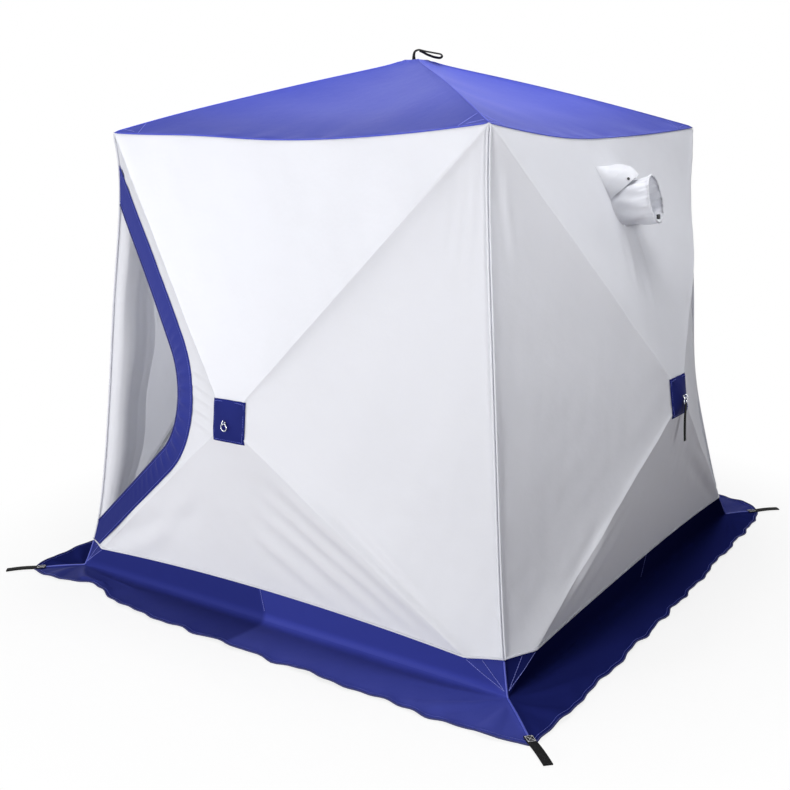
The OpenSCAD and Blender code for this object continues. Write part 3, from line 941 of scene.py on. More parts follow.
@dataclass
class Walls:
    """The four white walls, each a sheet from its hub to the corner edges, the eave and the foot band."""

    form: HutForm
    doorway: Doorway
    vent_hole: float = 0.068

    def edge(self, side: Side, count: int) -> np.ndarray:
        """A wall's edge in its own x and z, round the hub from the right foot rod.

        Args:
            side: which wall; the front one ends at the doorway.
            count: columns for each of its long parts.

        Returns:
            Points (x, z).
        """
        form = self.form
        bend = form.band_bend
        half = float(form.corner_half(np.array(form.band_z)))
        foot_x = np.linspace(bend, half, 8)
        foot = np.stack([foot_x, form.band_top(side, foot_x)], -1)
        left_foot = np.stack([-foot_x, form.band_top(side, -foot_x)], -1)[::-1]
        tall = eased(count, 0.6)
        up = foot[-1, 1] + tall * (form.eave_z - foot[-1, 1])
        right = np.stack([form.corner_half(up), up], -1)
        low = left_foot[0, 1]
        down = low + tall[::-1] * (form.eave_z - low)
        left = np.stack([-form.corner_half(down), down], -1)
        top = form.eave_line(1 - 2 * eased(count, 0.6))[:, [0, 2]]
        bottom_x = -bend + 2 * bend * eased(count, 0.6)
        bottom = np.stack([bottom_x, form.band_top(side, bottom_x)], -1)
        if side is Side.FRONT:
            upper, lower, nose = self.doorway.inner
            shape = self.doorway.outline((upper - 0.010, lower - 0.010, nose + 0.010), count // 2)
            high = shape[0, 1] + (form.eave_z - shape[0, 1]) * np.linspace(1, 0, 16)[:-1]
            deep = low + (shape[-1, 1] - low) * np.linspace(1, 0, 16)[1:]
            left = np.concatenate([np.stack([-form.corner_half(high), high], -1), shape,
                                   np.stack([-form.corner_half(deep), deep], -1)])
        return np.concatenate([foot[:-1], right[:-1], top[:-1], left[:-1], left_foot[:-1], bottom[:-1]])

    def folds(self, side: Side) -> list[Fold]:
        """The long soft folds of a wall: drawn towards the lower corners and, by the vent, down from it.

        Args:
            side: which wall.

        Returns:
            Its folds.
        """
        drawn = [
            Fold((0.12, 0.66), (0.90, 0.12), 0.030, 0.007),
            Fold((0.10, 0.57), (0.78, 0.13), 0.026, 0.006),
            Fold((0.05, 0.50), (0.60, 0.16), 0.028, 0.006),
            Fold((0.02, 0.40), (0.36, 0.17), 0.026, 0.005),
            Fold((0.36, 0.62), (0.88, 0.20), 0.024, 0.004),
            Fold((0.50, 0.50), (0.84, 0.20), 0.014, 0.003),
            Fold((-0.92, 0.13), (-0.34, 0.40), 0.040, -0.007),
            Fold((-0.60, 0.20), (-0.20, 0.55), 0.035, 0.005),
            Fold((0.83, 1.78), (0.80, 1.30), 0.014, 0.005),
            Fold((0.80, 1.72), (0.765, 1.36), 0.013, 0.004),
            Fold((0.855, 1.70), (0.845, 1.40), 0.009, 0.004),
            Fold((-0.81, 1.76), (-0.79, 1.40), 0.014, 0.004),
        ]
        if side is Side.FRONT:
            heights = (0.93, 0.885, 0.845, 0.80, 0.755)
            return drawn + [Fold((-0.26, z + 0.03), (-0.08, z), 0.008, 0.0022) for z in heights]
        if side is Side.RIGHT:
            return [
                Fold((-0.02, 1.44), (-0.09, 1.22), 0.014, 0.006),
                Fold((0.05, 1.44), (0.0, 1.12), 0.018, 0.007),
                Fold((0.10, 1.46), (0.10, 1.24), 0.014, 0.005),
                Fold((-0.46, 0.45), (-0.72, 0.20), 0.022, 0.006),
                Fold((-0.34, 0.50), (-0.80, 0.16), 0.026, 0.005),
                Fold((-0.30, 0.42), (-0.66, 0.16), 0.030, 0.005),
                Fold((0.82, 1.74), (0.80, 1.40), 0.014, 0.005),
                Fold((-0.80, 1.70), (-0.77, 1.36), 0.014, 0.004),
                Fold((0.20, 0.58), (0.86, 0.16), 0.028, 0.006),
            ]
        return [Fold((-f.start[0], f.start[1]), (-f.end[0], f.end[1]), f.wide, f.high, f.valley)
                for f in drawn]

    def lift(self, side: Side, x: np.ndarray, z: np.ndarray, share: np.ndarray) -> np.ndarray:
        """How far the cloth stands out from the hut's plain form.

        The sum of the long folds, a rounded ridge over each rod that stands up more in the pockets at the
        corners, small puckers above the foot band and soft unevenness, all held down at the edge.

        Args:
            side: which wall.
            x: places across the wall.
            z: places up the wall.
            share: share of the way from the hub to the edge.

        Returns:
            Heights in metres.
        """
        form = self.form
        out = sum(f.lift(x, z) for f in self.folds(side))
        gap, along = form.rod_gap(x, z)
        pocket = smooth(along, 0.74, 0.86) * (1 - smooth(along, 0.965, 1.0))
        out = out + (0.0010 * smooth(along, 0.1, 0.2) + 0.0022 * pocket) * np.exp(-(gap / 0.012) ** 2)
        out = out + 0.0025 * waves(x, z, 0.30, 11 + side.value) + 0.0008 * waves(x, z, 0.09, 21 + side.value)
        above = z - form.band_top(side, x)
        pucker = np.sin(x * 2 * np.pi / 0.045 + 2 * np.sin(x * 7)) * np.exp(-above / 0.03)
        out = out + 0.0022 * pucker * (above < 0.2)
        return out * (1 - smooth(share, 0.965, 1.0)) * smooth(share, 0.03, 0.16)

    def build(self) -> None:
        """All four walls, and the white piping down their corner seams and along the foot band."""
        for side in Side:
            self.build_wall(side)
        self.build_piping()

    def build_wall(self, side: Side) -> None:
        """One wall: rays from the hub to its edge, placed on the hut's form and moved out by its folds.

        Args:
            side: which wall.
        """
        form = self.form
        shown = side in (Side.FRONT, Side.RIGHT)
        edge = self.edge(side, 110 if shown else 70)
        rows = 70 if shown else 42
        share = np.linspace(0.004, 1, rows)[:, None]
        x = edge[None, :, 0] * share
        z = form.hub_z + (edge[None, :, 1] - form.hub_z) * share
        points = form.place(x, z, self.lift(side, x, z, share))
        points[-1] = form.place(edge[:, 0], edge[:, 1])
        keep = None
        if side is Side.RIGHT:
            off = np.stack([x - VENT_AT[0], z - VENT_AT[1]], -1)
            gap = np.linalg.norm(off, axis=-1)
            inside = gap < self.vent_hole
            onto = off / np.maximum(gap, 1e-6)[..., None] * self.vent_hole
            near_x = np.where(inside, VENT_AT[0] + onto[..., 0], x)
            near_z = np.where(inside, VENT_AT[1] + onto[..., 1], z)
            points = np.where(inside[..., None], form.place(near_x, near_z), points)
            ring = np.concatenate([inside, inside[:, :1]], 1)
            keep = ~(ring[:-1, :-1] & ring[1:, :-1] & ring[:-1, 1:] & ring[1:, 1:])
        sheet = Shape.grid(points, np.stack([x, z], -1), wrap=True, keep=keep)
        count = edge.shape[0]
        sheet.faces.append(np.arange(count)[None, ::-1])
        sheet = sheet.turned(side).facing(tuple(side.turn(np.array([0.0, -1.0, 0.0]))))
        thing = sheet.build(side.label + "_wall_cloth", WHITE, CLOTH_THICK)
        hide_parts(side.label + "_wall")
        round(sheet.area(), 3)

    def build_piping(self) -> None:
        """White beads: a pair down each corner seam, one on each foot band's top and one below each eave."""
        form = self.form
        half = float(form.corner_half(np.array(form.band_z)))
        beads = []
        for side in Side:
            low = (float(form.band_top(side, np.array(half))) - form.ground) / (form.eave_z - form.ground)
            seam = form.corner(np.linspace(low, 0.997, 90))
            for shift in (-0.0035, 0.0035):
                line = seam + np.array([shift, shift, 0]) + np.array([0.002, -0.002, 0])
                beads.append(Shape.tube(side.turn(line), 0.0036, sides=8, across=(1.0, 0.1, 0.0)))
            x = np.linspace(-half, half, 120)
            line = form.place(x, form.band_top(side, x) + 0.004, 0.0022)
            beads.append(Shape.tube(side.turn(line), 0.0036, sides=8))
            u = np.linspace(-0.99, 0.99, 90)
            line = form.eave_line(u) + np.array([0, -0.0018, -0.0048])
            beads.append(Shape.tube(side.turn(line), 0.0020, sides=8))
        Shape.joined(*beads).build("wall_piping", WHITE)


@dataclass
class Roof:
    """The four blue roof panels, their hip and eave seams and the stitched pockets at the corners.

    side_painted_shade and front_painted_shade are the painted shades of the side panels and of the front and
    back ones, which stand for how the light falls on them; eave_painted_shade is the share of painted shade
    towards the eave.
    """

    form: HutForm
    side_painted_shade: float = 0.98
    front_painted_shade: float = 0.64
    eave_painted_shade: float = 0.32

    def build(self) -> None:
        """The panels, then their seams."""
        for side in Side:
            self.build_panel(side)
        self.build_seams()

    def lift(self, u: np.ndarray, v: np.ndarray) -> np.ndarray:
        """How far a panel stands above its plain form: a slack middle, soft waves and a wavy eave.

        Args:
            u: places along the eave from -1 to 1.
            v: share of the way from the roof's middle to the eave.

        Returns:
            Heights in metres.
        """
        held = 1 - smooth(np.abs(u), 0.9, 1.0)
        slack = -0.010 * (1 - u * u) * np.sin(np.pi * v)
        edge = 0.004 * np.sin(u * 26 + 2 * np.sin(u * 5)) * np.exp(-(1 - v) / 0.05)
        soft = 0.004 * waves(u * v * 0.87, v * 0.87, 0.35, 5)
        return (slack + soft + edge) * held * smooth(v, 0.06, 0.3) * (1 - smooth(v, 0.975, 1.0))

    def build_panel(self, side: Side) -> None:
        """One panel: lines from the hub's flat top to the eave.

        Args:
            side: the eave that it ends at.
        """
        form = self.form
        u = (2 * eased(90, 0.5) - 1)[None]
        v = np.concatenate([np.linspace(0.003, 0.16, 24), np.linspace(0.16, 1, 62)[1:]])[:, None]
        points = form.roof(u, v)
        points[..., 2] += self.lift(u, v)
        flat = np.stack(np.broadcast_arrays(u * v * form.eave, v * form.eave), -1)
        sheet = Shape.grid(points, flat)
        # painted shade: side panels lighter, front and back panels darker, and all darker towards the eave
        shade = self.side_painted_shade if side in (Side.RIGHT, Side.LEFT) else self.front_painted_shade
        sheet.shade = (shade * (1 - self.eave_painted_shade * smooth(v, 0.55, 0.95)) * np.ones_like(u)).ravel()
        sheet = sheet.turned(side).facing((0, 0, 1))
        thing = sheet.build("roof_" + side.label + "_cloth", BLUE, CLOTH_THICK)
        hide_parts("roof_" + side.label)
        round(sheet.area(), 3)

    def build_seams(self) -> None:
        """Beads along hips and eaves, and two rows of stitches across each corner pocket."""
        form = self.form
        beads, rows = [], []
        for side in Side:
            hip = form.roof(np.array(1.0), np.linspace(0.05, 0.995, 80))
            beads.append(Shape.tube(side.turn(hip), 0.003, sides=6))
            eave = form.eave_line(np.linspace(-0.995, 0.995, 90)) + np.array([0, -0.001, -0.001])
            beads.append(Shape.tube(side.turn(eave), 0.0032, sides=6))
            for end in (-1, 1):
                start = form.roof(np.array(0.99 * end), np.array(0.90))
                stop = form.roof(np.array(0.86 * end), np.array(0.995))
                line = start + np.linspace(0, 1, 30)[:, None] * (stop - start) + np.array([0, 0, 0.002])
                rows.append(stitches(side.turn(line)))
                stop = form.roof(np.array(0.90 * end), np.array(0.985))
                start = form.roof(np.array(0.99 * end), np.array(0.97))
                line = start + np.linspace(0, 1, 20)[:, None] * (stop - start) + np.array([0, 0, 0.002])
                rows.append(stitches(side.turn(line)))
        Shape.joined(*beads).build("roof_seams", BLUE)
        Shape.joined(*rows).build("roof_stitches", PALE_THREAD)


@dataclass(frozen=True)
class Hem:
    """A skirt's hem: how far it lies out from the base at its left and right ends, in metres, and one tuck.

    The hem is drawn in by tuck, or let out where tuck is negative, as a bell curve about a place from
    -1 to 1.
    """

    left: float
    right: float
    tuck: float
    tuck_at: float
    tuck_wide: float

    def line(self, c: np.ndarray) -> np.ndarray:
        """How far the hem lies out at places from -1 to 1: a straight line less the tuck."""
        even = self.left + (self.right - self.left) * (c + 1) / 2
        return even - self.tuck * np.exp(-((c - self.tuck_at) / self.tuck_wide) ** 2)


@dataclass
class FootBand:
    """The blue band round the walls' foot and the snow skirt that lies on the ground below it.

    Band and skirt are one bent sheet with a seam in the bend. hems holds each side's hem, and tips is how far
    each corner lies out, from the front left one round.
    """

    form: HutForm
    fold: float = 0.045
    cloth: float = 0.0012
    rest: float = 0.0006
    tips: tuple[float, ...] = (0.150, 0.205, 0.118, 0.150)
    hems: dict[Side, Hem] = field(default_factory=lambda: {
        Side.FRONT: Hem(0.200, 0.245, 0.078, -0.70, 0.16),
        Side.RIGHT: Hem(0.218, 0.150, -0.008, 0.0, 0.5),
        Side.BACK: Hem(0.240, 0.225, 0.050, 0.95, 0.25),
        Side.LEFT: Hem(0.190, 0.190, -0.012, 0.0, 0.5),
    })

    def build(self) -> None:
        """All bands, skirts and their stitches."""
        for side in Side:
            self.build_side(side)
        self.build_stitches()

    def bend(self, c: np.ndarray, t: np.ndarray) -> np.ndarray:
        """The bend at the ground: a quadratic curve from the wall through the base line to the ground.

        Args:
            c: places along the side from -1 to 1.
            t: places along the bend from 0 at the wall to 1 on the ground.

        Returns:
            Points, with x, y, z in the last axis.
        """
        form = self.form
        size = self.fold * (0.12 + 0.88 * (1 - np.abs(c) ** 6))
        low = 0.004 + size
        top = form.place(c * form.corner_half(low), low)
        base = np.stack(np.broadcast_arrays(c * form.base, -form.base, self.cloth + self.rest), -1)
        out = form.base + size
        corner = form.base + self.fold * 0.12
        ground = np.stack(np.broadcast_arrays(c * corner, -out, self.cloth + self.rest), -1)
        t = t[..., None]
        return top * (1 - t) ** 2 + base * 2 * t * (1 - t) + ground * t ** 2

    def hem(self, side: Side, c: np.ndarray) -> np.ndarray:
        """How far the hem lies out along a side: its line, eased to the corners' tips, with small scallops.

        Args:
            side: which side.
            c: places along it from -1 to 1.

        Returns:
            Distances from the base line in metres.
        """
        held = 1 - np.abs(c) ** 10
        large = 0.006 * np.sin(c * 31 + 2 * np.sin(c * 6 + side.value))
        line = self.hems[side].line(c) + held * (large + 0.003 * np.sin(c * 73))
        ends = np.abs(c) ** 14
        tips = np.where(c < 0, self.tips[side.value], self.tips[(side.value + 1) % 4])
        return line * (1 - ends) + tips * ends

    def ripple(self, side: Side, c: np.ndarray, w: np.ndarray) -> np.ndarray:
        """How far the skirt lifts off the ground.

        Soft waves that grow towards the hem, ridges that fan out from the corners, and a low ridge at the
        mitres.

        Args:
            side: which side.
            c: places along it from -1 to 1.
            w: share of the way from the bend to the hem.

        Returns:
            Heights in metres.
        """
        run = c * 1.1
        soft = 0.5 + 0.5 * np.sin(run * 11 + 2.1 * np.sin(run * 3.1 + side.value) + 1.5 * w)
        small = 0.5 + 0.5 * np.sin(run * 37 + 3 * np.sin(run * 8 + side.value))
        lift = 0.006 * soft * w + 0.004 * small * w ** 3
        for end in (-1, 1):
            away = 1 - end * c
            fan = np.arctan2(w * 0.25 + 0.02, away + 0.02)
            ridges = np.sin(fan * 13 + 1.3 * side.value) * np.exp(-((away - 0.18) / 0.22) ** 2)
            lift = lift + 0.008 * np.clip(ridges, 0, 1) * np.sin(np.pi * np.clip(w, 0, 1) * 0.8)
        held = 1 - smooth(np.abs(c), 0.96, 1.0)
        mitre = 0.004 * np.sin(np.pi * np.clip(w, 0, 1)) * np.exp(-((1 - np.abs(c)) / 0.012) ** 2)
        return lift * held + mitre

    def build_side(self, side: Side) -> None:
        """One side's band and skirt.

        Args:
            side: which side.
        """
        form = self.form
        c = (2 * eased(150, 0.5) - 1)[None]
        first = self.bend(c, np.zeros_like(c))
        rows = np.linspace(0, 1, 16)[:, None]
        top = form.band_top(side, c * form.corner_half(form.band_z))
        z = top + (first[..., 2] - top) * rows
        x = c * form.corner_half(z)
        out = 0.0015 * waves(x, z, 0.12, 40 + side.value) * np.sin(np.pi * rows) * (1 - np.abs(c) ** 12)
        wall_part = form.place(x, z, out)
        turn = np.linspace(0, 0.5, 10)[1:, None]
        bent = self.bend(np.broadcast_to(c, (9, c.shape[1])), np.broadcast_to(turn, (9, c.shape[1])))
        band = np.concatenate([wall_part, bent])
        flat = np.stack([band[..., 0], band[..., 2] - band[..., 1] * 0.3], -1)
        sheet = Shape.grid(band, flat)
        sheet.shade = self.lay_and_painted_shade(side, band)
        sheet = sheet.turned(side).facing(tuple(side.turn(np.array([0.0, -1.0, 0.0]))))
        thing = sheet.build(side.label + "_foot_band_cloth", BLUE, CLOTH_THICK)
        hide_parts(side.label + "_foot_band")
        round(sheet.area(), 3)
        corner = np.concatenate([band[:, -1], self.build_skirt(side, c)])
        piping = Shape.tube(side.turn(corner + np.array([0.001, -0.001, 0.001])), 0.0036)
        piping.build(side.label + "_corner_piping", PIPING)

    def lay_and_painted_shade(self, side: Side, points: np.ndarray) -> np.ndarray:
        """The cloth's painted shade: darkest on the sides, darker on the band than the skirt and left of a
        mid seam.

        Args:
            side: which side.
            points: its points, before they are turned to that side.

        Returns:
            Shades from 0 to 1, one a point.
        """
        # painted shade: the right and left bands and skirts take only the dark colour
        if side in (Side.RIGHT, Side.LEFT):
            return np.zeros(points[..., 0].size)
        # painted shade: the band is darker than the skirt lying on the ground; left of the mid seam the cloth
        # is darker, partly its lay and partly painted shade
        low = smooth(points[..., 2], 0.05, 0.02).ravel()
        return (0.22 + 0.30 * smooth(points[..., 0], -0.004, 0.004).ravel()) * (0.70 + 0.30 * low)

    def build_skirt(self, side: Side, c: np.ndarray) -> np.ndarray:
        """One side's skirt, from the seam in the bend to a doubled hem.

        Args:
            side: which side.
            c: places along it, as in the band.

        Returns:
            The points of its right edge, from the seam out.
        """
        form = self.form
        turn = np.linspace(0.5, 1, 10)[:, None]
        wide = np.broadcast_to(c, (10, c.shape[1]))
        bent = self.bend(wide, np.broadcast_to(turn, wide.shape))
        start = bent[-1:]
        left, right = self.tips[side.value], self.tips[(side.value + 1) % 4]
        half = form.base + np.where(c < 0, left, right)
        hem = np.stack([c * half, -form.base - self.hem(side, c), np.zeros_like(c)], -1)
        w = np.concatenate([np.linspace(0, 0.9, 30)[1:], np.linspace(0.9, 1, 10)[1:]])[:, None]
        laid = start + (hem - start) * w[..., None]
        doubled = 0.0012 * smooth(w, 0.925, 0.935)
        laid[..., 2] = self.cloth + self.rest + self.ripple(side, c, w) + doubled
        points = np.concatenate([bent, laid])
        sheet = Shape.grid(points, points[..., :2])
        sheet.shade = self.lay_and_painted_shade(side, points)
        sheet = sheet.turned(side).facing((0, 0, 1))
        thing = sheet.build(side.label + "_skirt_cloth", BLUE, self.cloth)
        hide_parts(side.label + "_skirt")
        round(sheet.area(), 3)
        line = start + (hem - start) * 0.93
        line[..., 2] = self.cloth + 0.0026 + self.ripple(side, c, np.full_like(c, 0.93))
        stitches(side.turn(line[0])).build(side.label + "_hem_stitches", PIPING)
        edge = laid[-1] + np.array([0, 0, 0.0005])
        # the hem's edge, near black as painted shade under it
        Shape.tube(side.turn(edge), 0.0030, sides=6).build(side.label + "_hem_edge_painted_shade", HEM_EDGE_SHADE)
        return points[1:, -1]

    def build_stitches(self) -> None:
        """Double rows of stitches at the rod pockets in the band's corners, and the mid seams."""
        form = self.form
        rows = []
        for side in Side:
            for end in (-1, 1):
                foot = np.array([end * (form.base - 0.012), 0.02])
                for top in (form.band_bend - 0.004, form.band_bend + 0.045):
                    head = np.array([end * top, form.band_top(side, np.array(end * top)) - 0.004])
                    line = foot + np.linspace(0, 1, 30)[:, None] * (head - foot)
                    rows.append(stitches(side.turn(form.place(line[:, 0], line[:, 1], 0.0012))))
            z = np.linspace(0.05, float(form.band_top(side, np.array(0.0))), 20)
            rows.append(stitches(side.turn(form.place(np.full(20, 0.004), z, 0.0012))))
        Shape.joined(*rows).build("foot_band_stitches", PALE_THREAD)


@dataclass
class HubPatches:
    """The blue squares sewn over the wall hubs, with a row of stitches inside their edge.

    blur is the radius of the circle that the wall's depth is averaged on.
    """

    form: HutForm
    size: float = 0.150
    blur: float = 0.026
    shade: float = 0.10
    seam_in: float = 0.008

    def build(self) -> None:
        """A patch and its stitches on each wall; its depth is the wall's mean round each place."""
        form = self.form
        half = self.size / 2
        at = np.linspace(-half, half, 40)
        x, z = np.meshgrid(at, at)
        edge = np.maximum(np.abs(x), np.abs(z)) / half
        out = 0.0036 + 0.0008 * waves(x, z, 0.05, 3) * smooth(edge, 0.3, 0.8)
        out = out - 0.0014 * smooth(edge, 0.93, 1.0)
        turn = np.linspace(0, 2 * np.pi, 16, endpoint=False)[:, None, None]
        round_x, round_z = x + self.blur * np.cos(turn), form.hub_z + z + self.blur * np.sin(turn)
        mean = form.wall_depth(round_x, round_z).mean(0)
        points = form.place(x, form.hub_z + z, out)
        points[..., 1] = np.minimum(points[..., 1] + 0.0010, mean - 0.0075 + 0.0030 * edge ** 2)
        sheet = Shape.grid(points, np.stack([x, z], -1)).facing((0, -1, 0))
        sheet.shade = np.full(len(sheet.points), self.shade)
        inner = half - self.seam_in
        way = np.array([(-1, -1), (1, -1), (1, 1), (-1, 1), (-1, -1)]) * inner
        square = np.concatenate([np.linspace(a, b, 20)[:-1] for a, b in zip(way[:-1], way[1:])] + [way[-1:]])
        seam = stitches(form.place(square[:, 0], form.hub_z + square[:, 1], 0.0046))
        for side in Side:
            thing = sheet.turned(side).build(side.label + "_hub_patch_cloth", BLUE, 0.0012)
            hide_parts(side.label + "_hub_patch")
            seam.turned(side).build(side.label + "_hub_patch_stitches", PIPING)


@dataclass
class Vent:
    """The vent on the right wall: an open cloth sleeve with a drawn hem, and the rain hood over it."""

    form: HutForm
    at: tuple[float, float] = VENT_AT
    root: float = 0.075
    mouth: float = 0.088
    long: float = 0.138
    turn: float = math.radians(4)
    rise: float = math.radians(12)
    hood_wide: float = 0.280
    hood_high: float = 0.126

    def build(self) -> None:
        """The sleeve, then the hood."""
        self.build_sleeve()
        self.build_hood()

    def axes(self) -> tuple[np.ndarray, np.ndarray, np.ndarray]:
        """The sleeve's three directions.

        Returns:
            The one out of the wall, the one across it and the one up from it.
        """
        way = unit(np.array([math.sin(self.turn), -math.cos(self.turn), math.tan(self.rise)]))
        across = unit(np.cross(way, [0, 0, 1.0]))
        return way, across, np.cross(across, way)

    def build_sleeve(self) -> None:
        """The sleeve: rings from the wall to the mouth, gathered into small waves that grow to the drawn hem.

        A ring's points start on the wall, at a circle about the vent, and end on a circle across its axis.
        """
        form = self.form
        angle = np.linspace(0, 2 * np.pi, 144, endpoint=False)[None]
        share = np.concatenate([np.linspace(0, 0.9, 26), np.linspace(0.9, 1, 8)[1:]])[:, None]
        x0, z0 = self.at
        way, across, up = self.axes()
        start = form.place(x0, z0)
        base = form.place(x0 + self.root * np.cos(angle), z0 + self.root * np.sin(angle), 0.001)
        ring = np.cos(angle)[..., None] * -across + np.sin(angle)[..., None] * up
        end = start + way * self.long + ring * self.mouth
        end = end - way * (0.006 * np.cos(angle))[..., None]
        t = share[..., None]
        points = base * (1 - t) + end * t
        gather = np.sin(angle * 23 + 1.5 * np.sin(angle * 3)) + 0.6 * np.sin(angle * 37 + 2)
        slack = 0.004 * np.sin(angle * 5 + 4 * share) + 0.003 * np.sin(angle * 9 - 3 * share)
        swell = slack * np.sin(np.pi * share) + 0.0013 * gather * smooth(share, 0.55, 0.95)
        hem = 0.0025 * np.sin(np.pi * np.clip((share - 0.92) / 0.08, 0, 1))
        points = points + ring * (swell + hem)[..., None]
        flat = np.stack(np.broadcast_arrays(angle * self.mouth, share * self.long), -1)
        sheet = Shape.grid(points, flat, wrap=True)
        middle = sheet.points.mean(0)
        if np.einsum("ij,ij->", sheet.normals(), sheet.points[sheet.faces[0][:, 0]] - middle) < 0:
            sheet = sheet.flipped()
        thing = sheet.turned(Side.RIGHT).build("vent_sleeve_cloth", WHITE, 0.0011)
        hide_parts("vent_sleeve")
        round(sheet.area(), 4)
        rim = points[-1] - way * 0.004
        bead = Shape.tube(rim, 0.0042, sides=8, loop=True)
        seam = Shape.tube(base[0], 0.0028, sides=6, loop=True)
        Shape.joined(bead, seam).turned(Side.RIGHT).build("vent_sleeve_hems", WHITE)
        hang = math.radians(-107)
        drop = math.sin(hang) * up - math.cos(hang) * across
        place = start + way * (self.long + 0.004) + 0.80 * self.mouth * drop
        lean = np.array([-0.0082, -0.0076, 0.0076, 0.0082])[:, None] * (0.9 * up - 0.3 * across)
        body = Shape.tube(place + lean, np.array([0.0006, 0.007, 0.007, 0.0006]), sides=12)
        thing = body.turned(Side.RIGHT).build("vent_cord_lock", PLASTIC)
        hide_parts("vent_toggle")

    def hood_place(self, u: np.ndarray, share: np.ndarray,
                   out: np.ndarray | float) -> tuple[np.ndarray, np.ndarray]:
        """Points of the hood: lines from a level seam on the wall to a free edge that arches over the sleeve.

        The free edge turns round the sleeve's axis and moves out along it as a sine; between seam and edge
        the cloth swells upwards as a product of sines.

        Args:
            u: places along the seam and the free edge, from left to right.
            share: share of the way from the seam to the free edge.
            out: extra distance out from the sleeve's axis.

        Returns:
            The points, and their flat places in metres.
        """
        way, across, up = self.axes()
        arch = np.sin(np.pi * u)
        angle = np.radians(157 - 110 * u)
        away = -0.008 + 0.004 * u + 0.100 * arch
        radius = self.root + (self.mouth - self.root) * away / self.long + 0.010 + 0.006 * arch
        round_axis = np.cos(angle)[..., None] * -across + np.sin(angle)[..., None] * up
        free = self.form.place(*self.at) + way * away[..., None] + round_axis * radius[..., None]
        seam_x = self.at[0] - 0.112 + 0.25 * u
        seam = self.form.place(seam_x, self.at[1] + 0.150 + 0 * u, 0.002)
        t = share[..., None]
        soft = 0.0012 * waves(u * 0.3, share * 0.15, 0.05, 8)
        points = seam * (1 - t) + free * t + round_axis * ((out + soft) * arch ** 0.5)[..., None]
        points[..., 2] += 0.021 * np.sin(np.pi * share) * arch
        return points, np.stack(np.broadcast_arrays(u * self.hood_wide, share * self.hood_high), -1)

    def build_hood(self) -> None:
        """The hood, a folded strip along its free edge and a small eyelet in the strip."""
        u = np.linspace(0, 1, 60)[None]
        points, flat = self.hood_place(u, np.linspace(0, 1, 30)[:, None], 0.0)
        sheet = Shape.grid(points, flat).facing((0, -0.5, 0.8))
        thing = sheet.turned(Side.RIGHT).build("vent_hood_cloth", WHITE, CLOTH_THICK)
        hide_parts("vent_hood")
        round(sheet.area(), 4)
        across = np.linspace(0, 1, 14)[:, None]
        swell = 0.007 * np.sin(np.pi * (0.03 + 0.94 * across)) ** 0.35
        points, flat = self.hood_place(u, 0.66 + 0.36 * across, swell + 0 * u)
        strip = Shape.grid(points, flat).facing((0, -0.5, 0.8))
        strip.turned(Side.RIGHT).build("vent_hood_hem", WHITE, CLOTH_THICK)
        turn = np.linspace(0, 2 * np.pi, 24, endpoint=False)
        points, _ = self.hood_place(0.29 + 0.009 * np.cos(turn), 0.95 + 0.022 * np.sin(turn), 0.0078)
        Shape.tube(points, 0.0024, sides=6, loop=True).turned(Side.RIGHT).build("vent_hood_eyelet", PLASTIC)


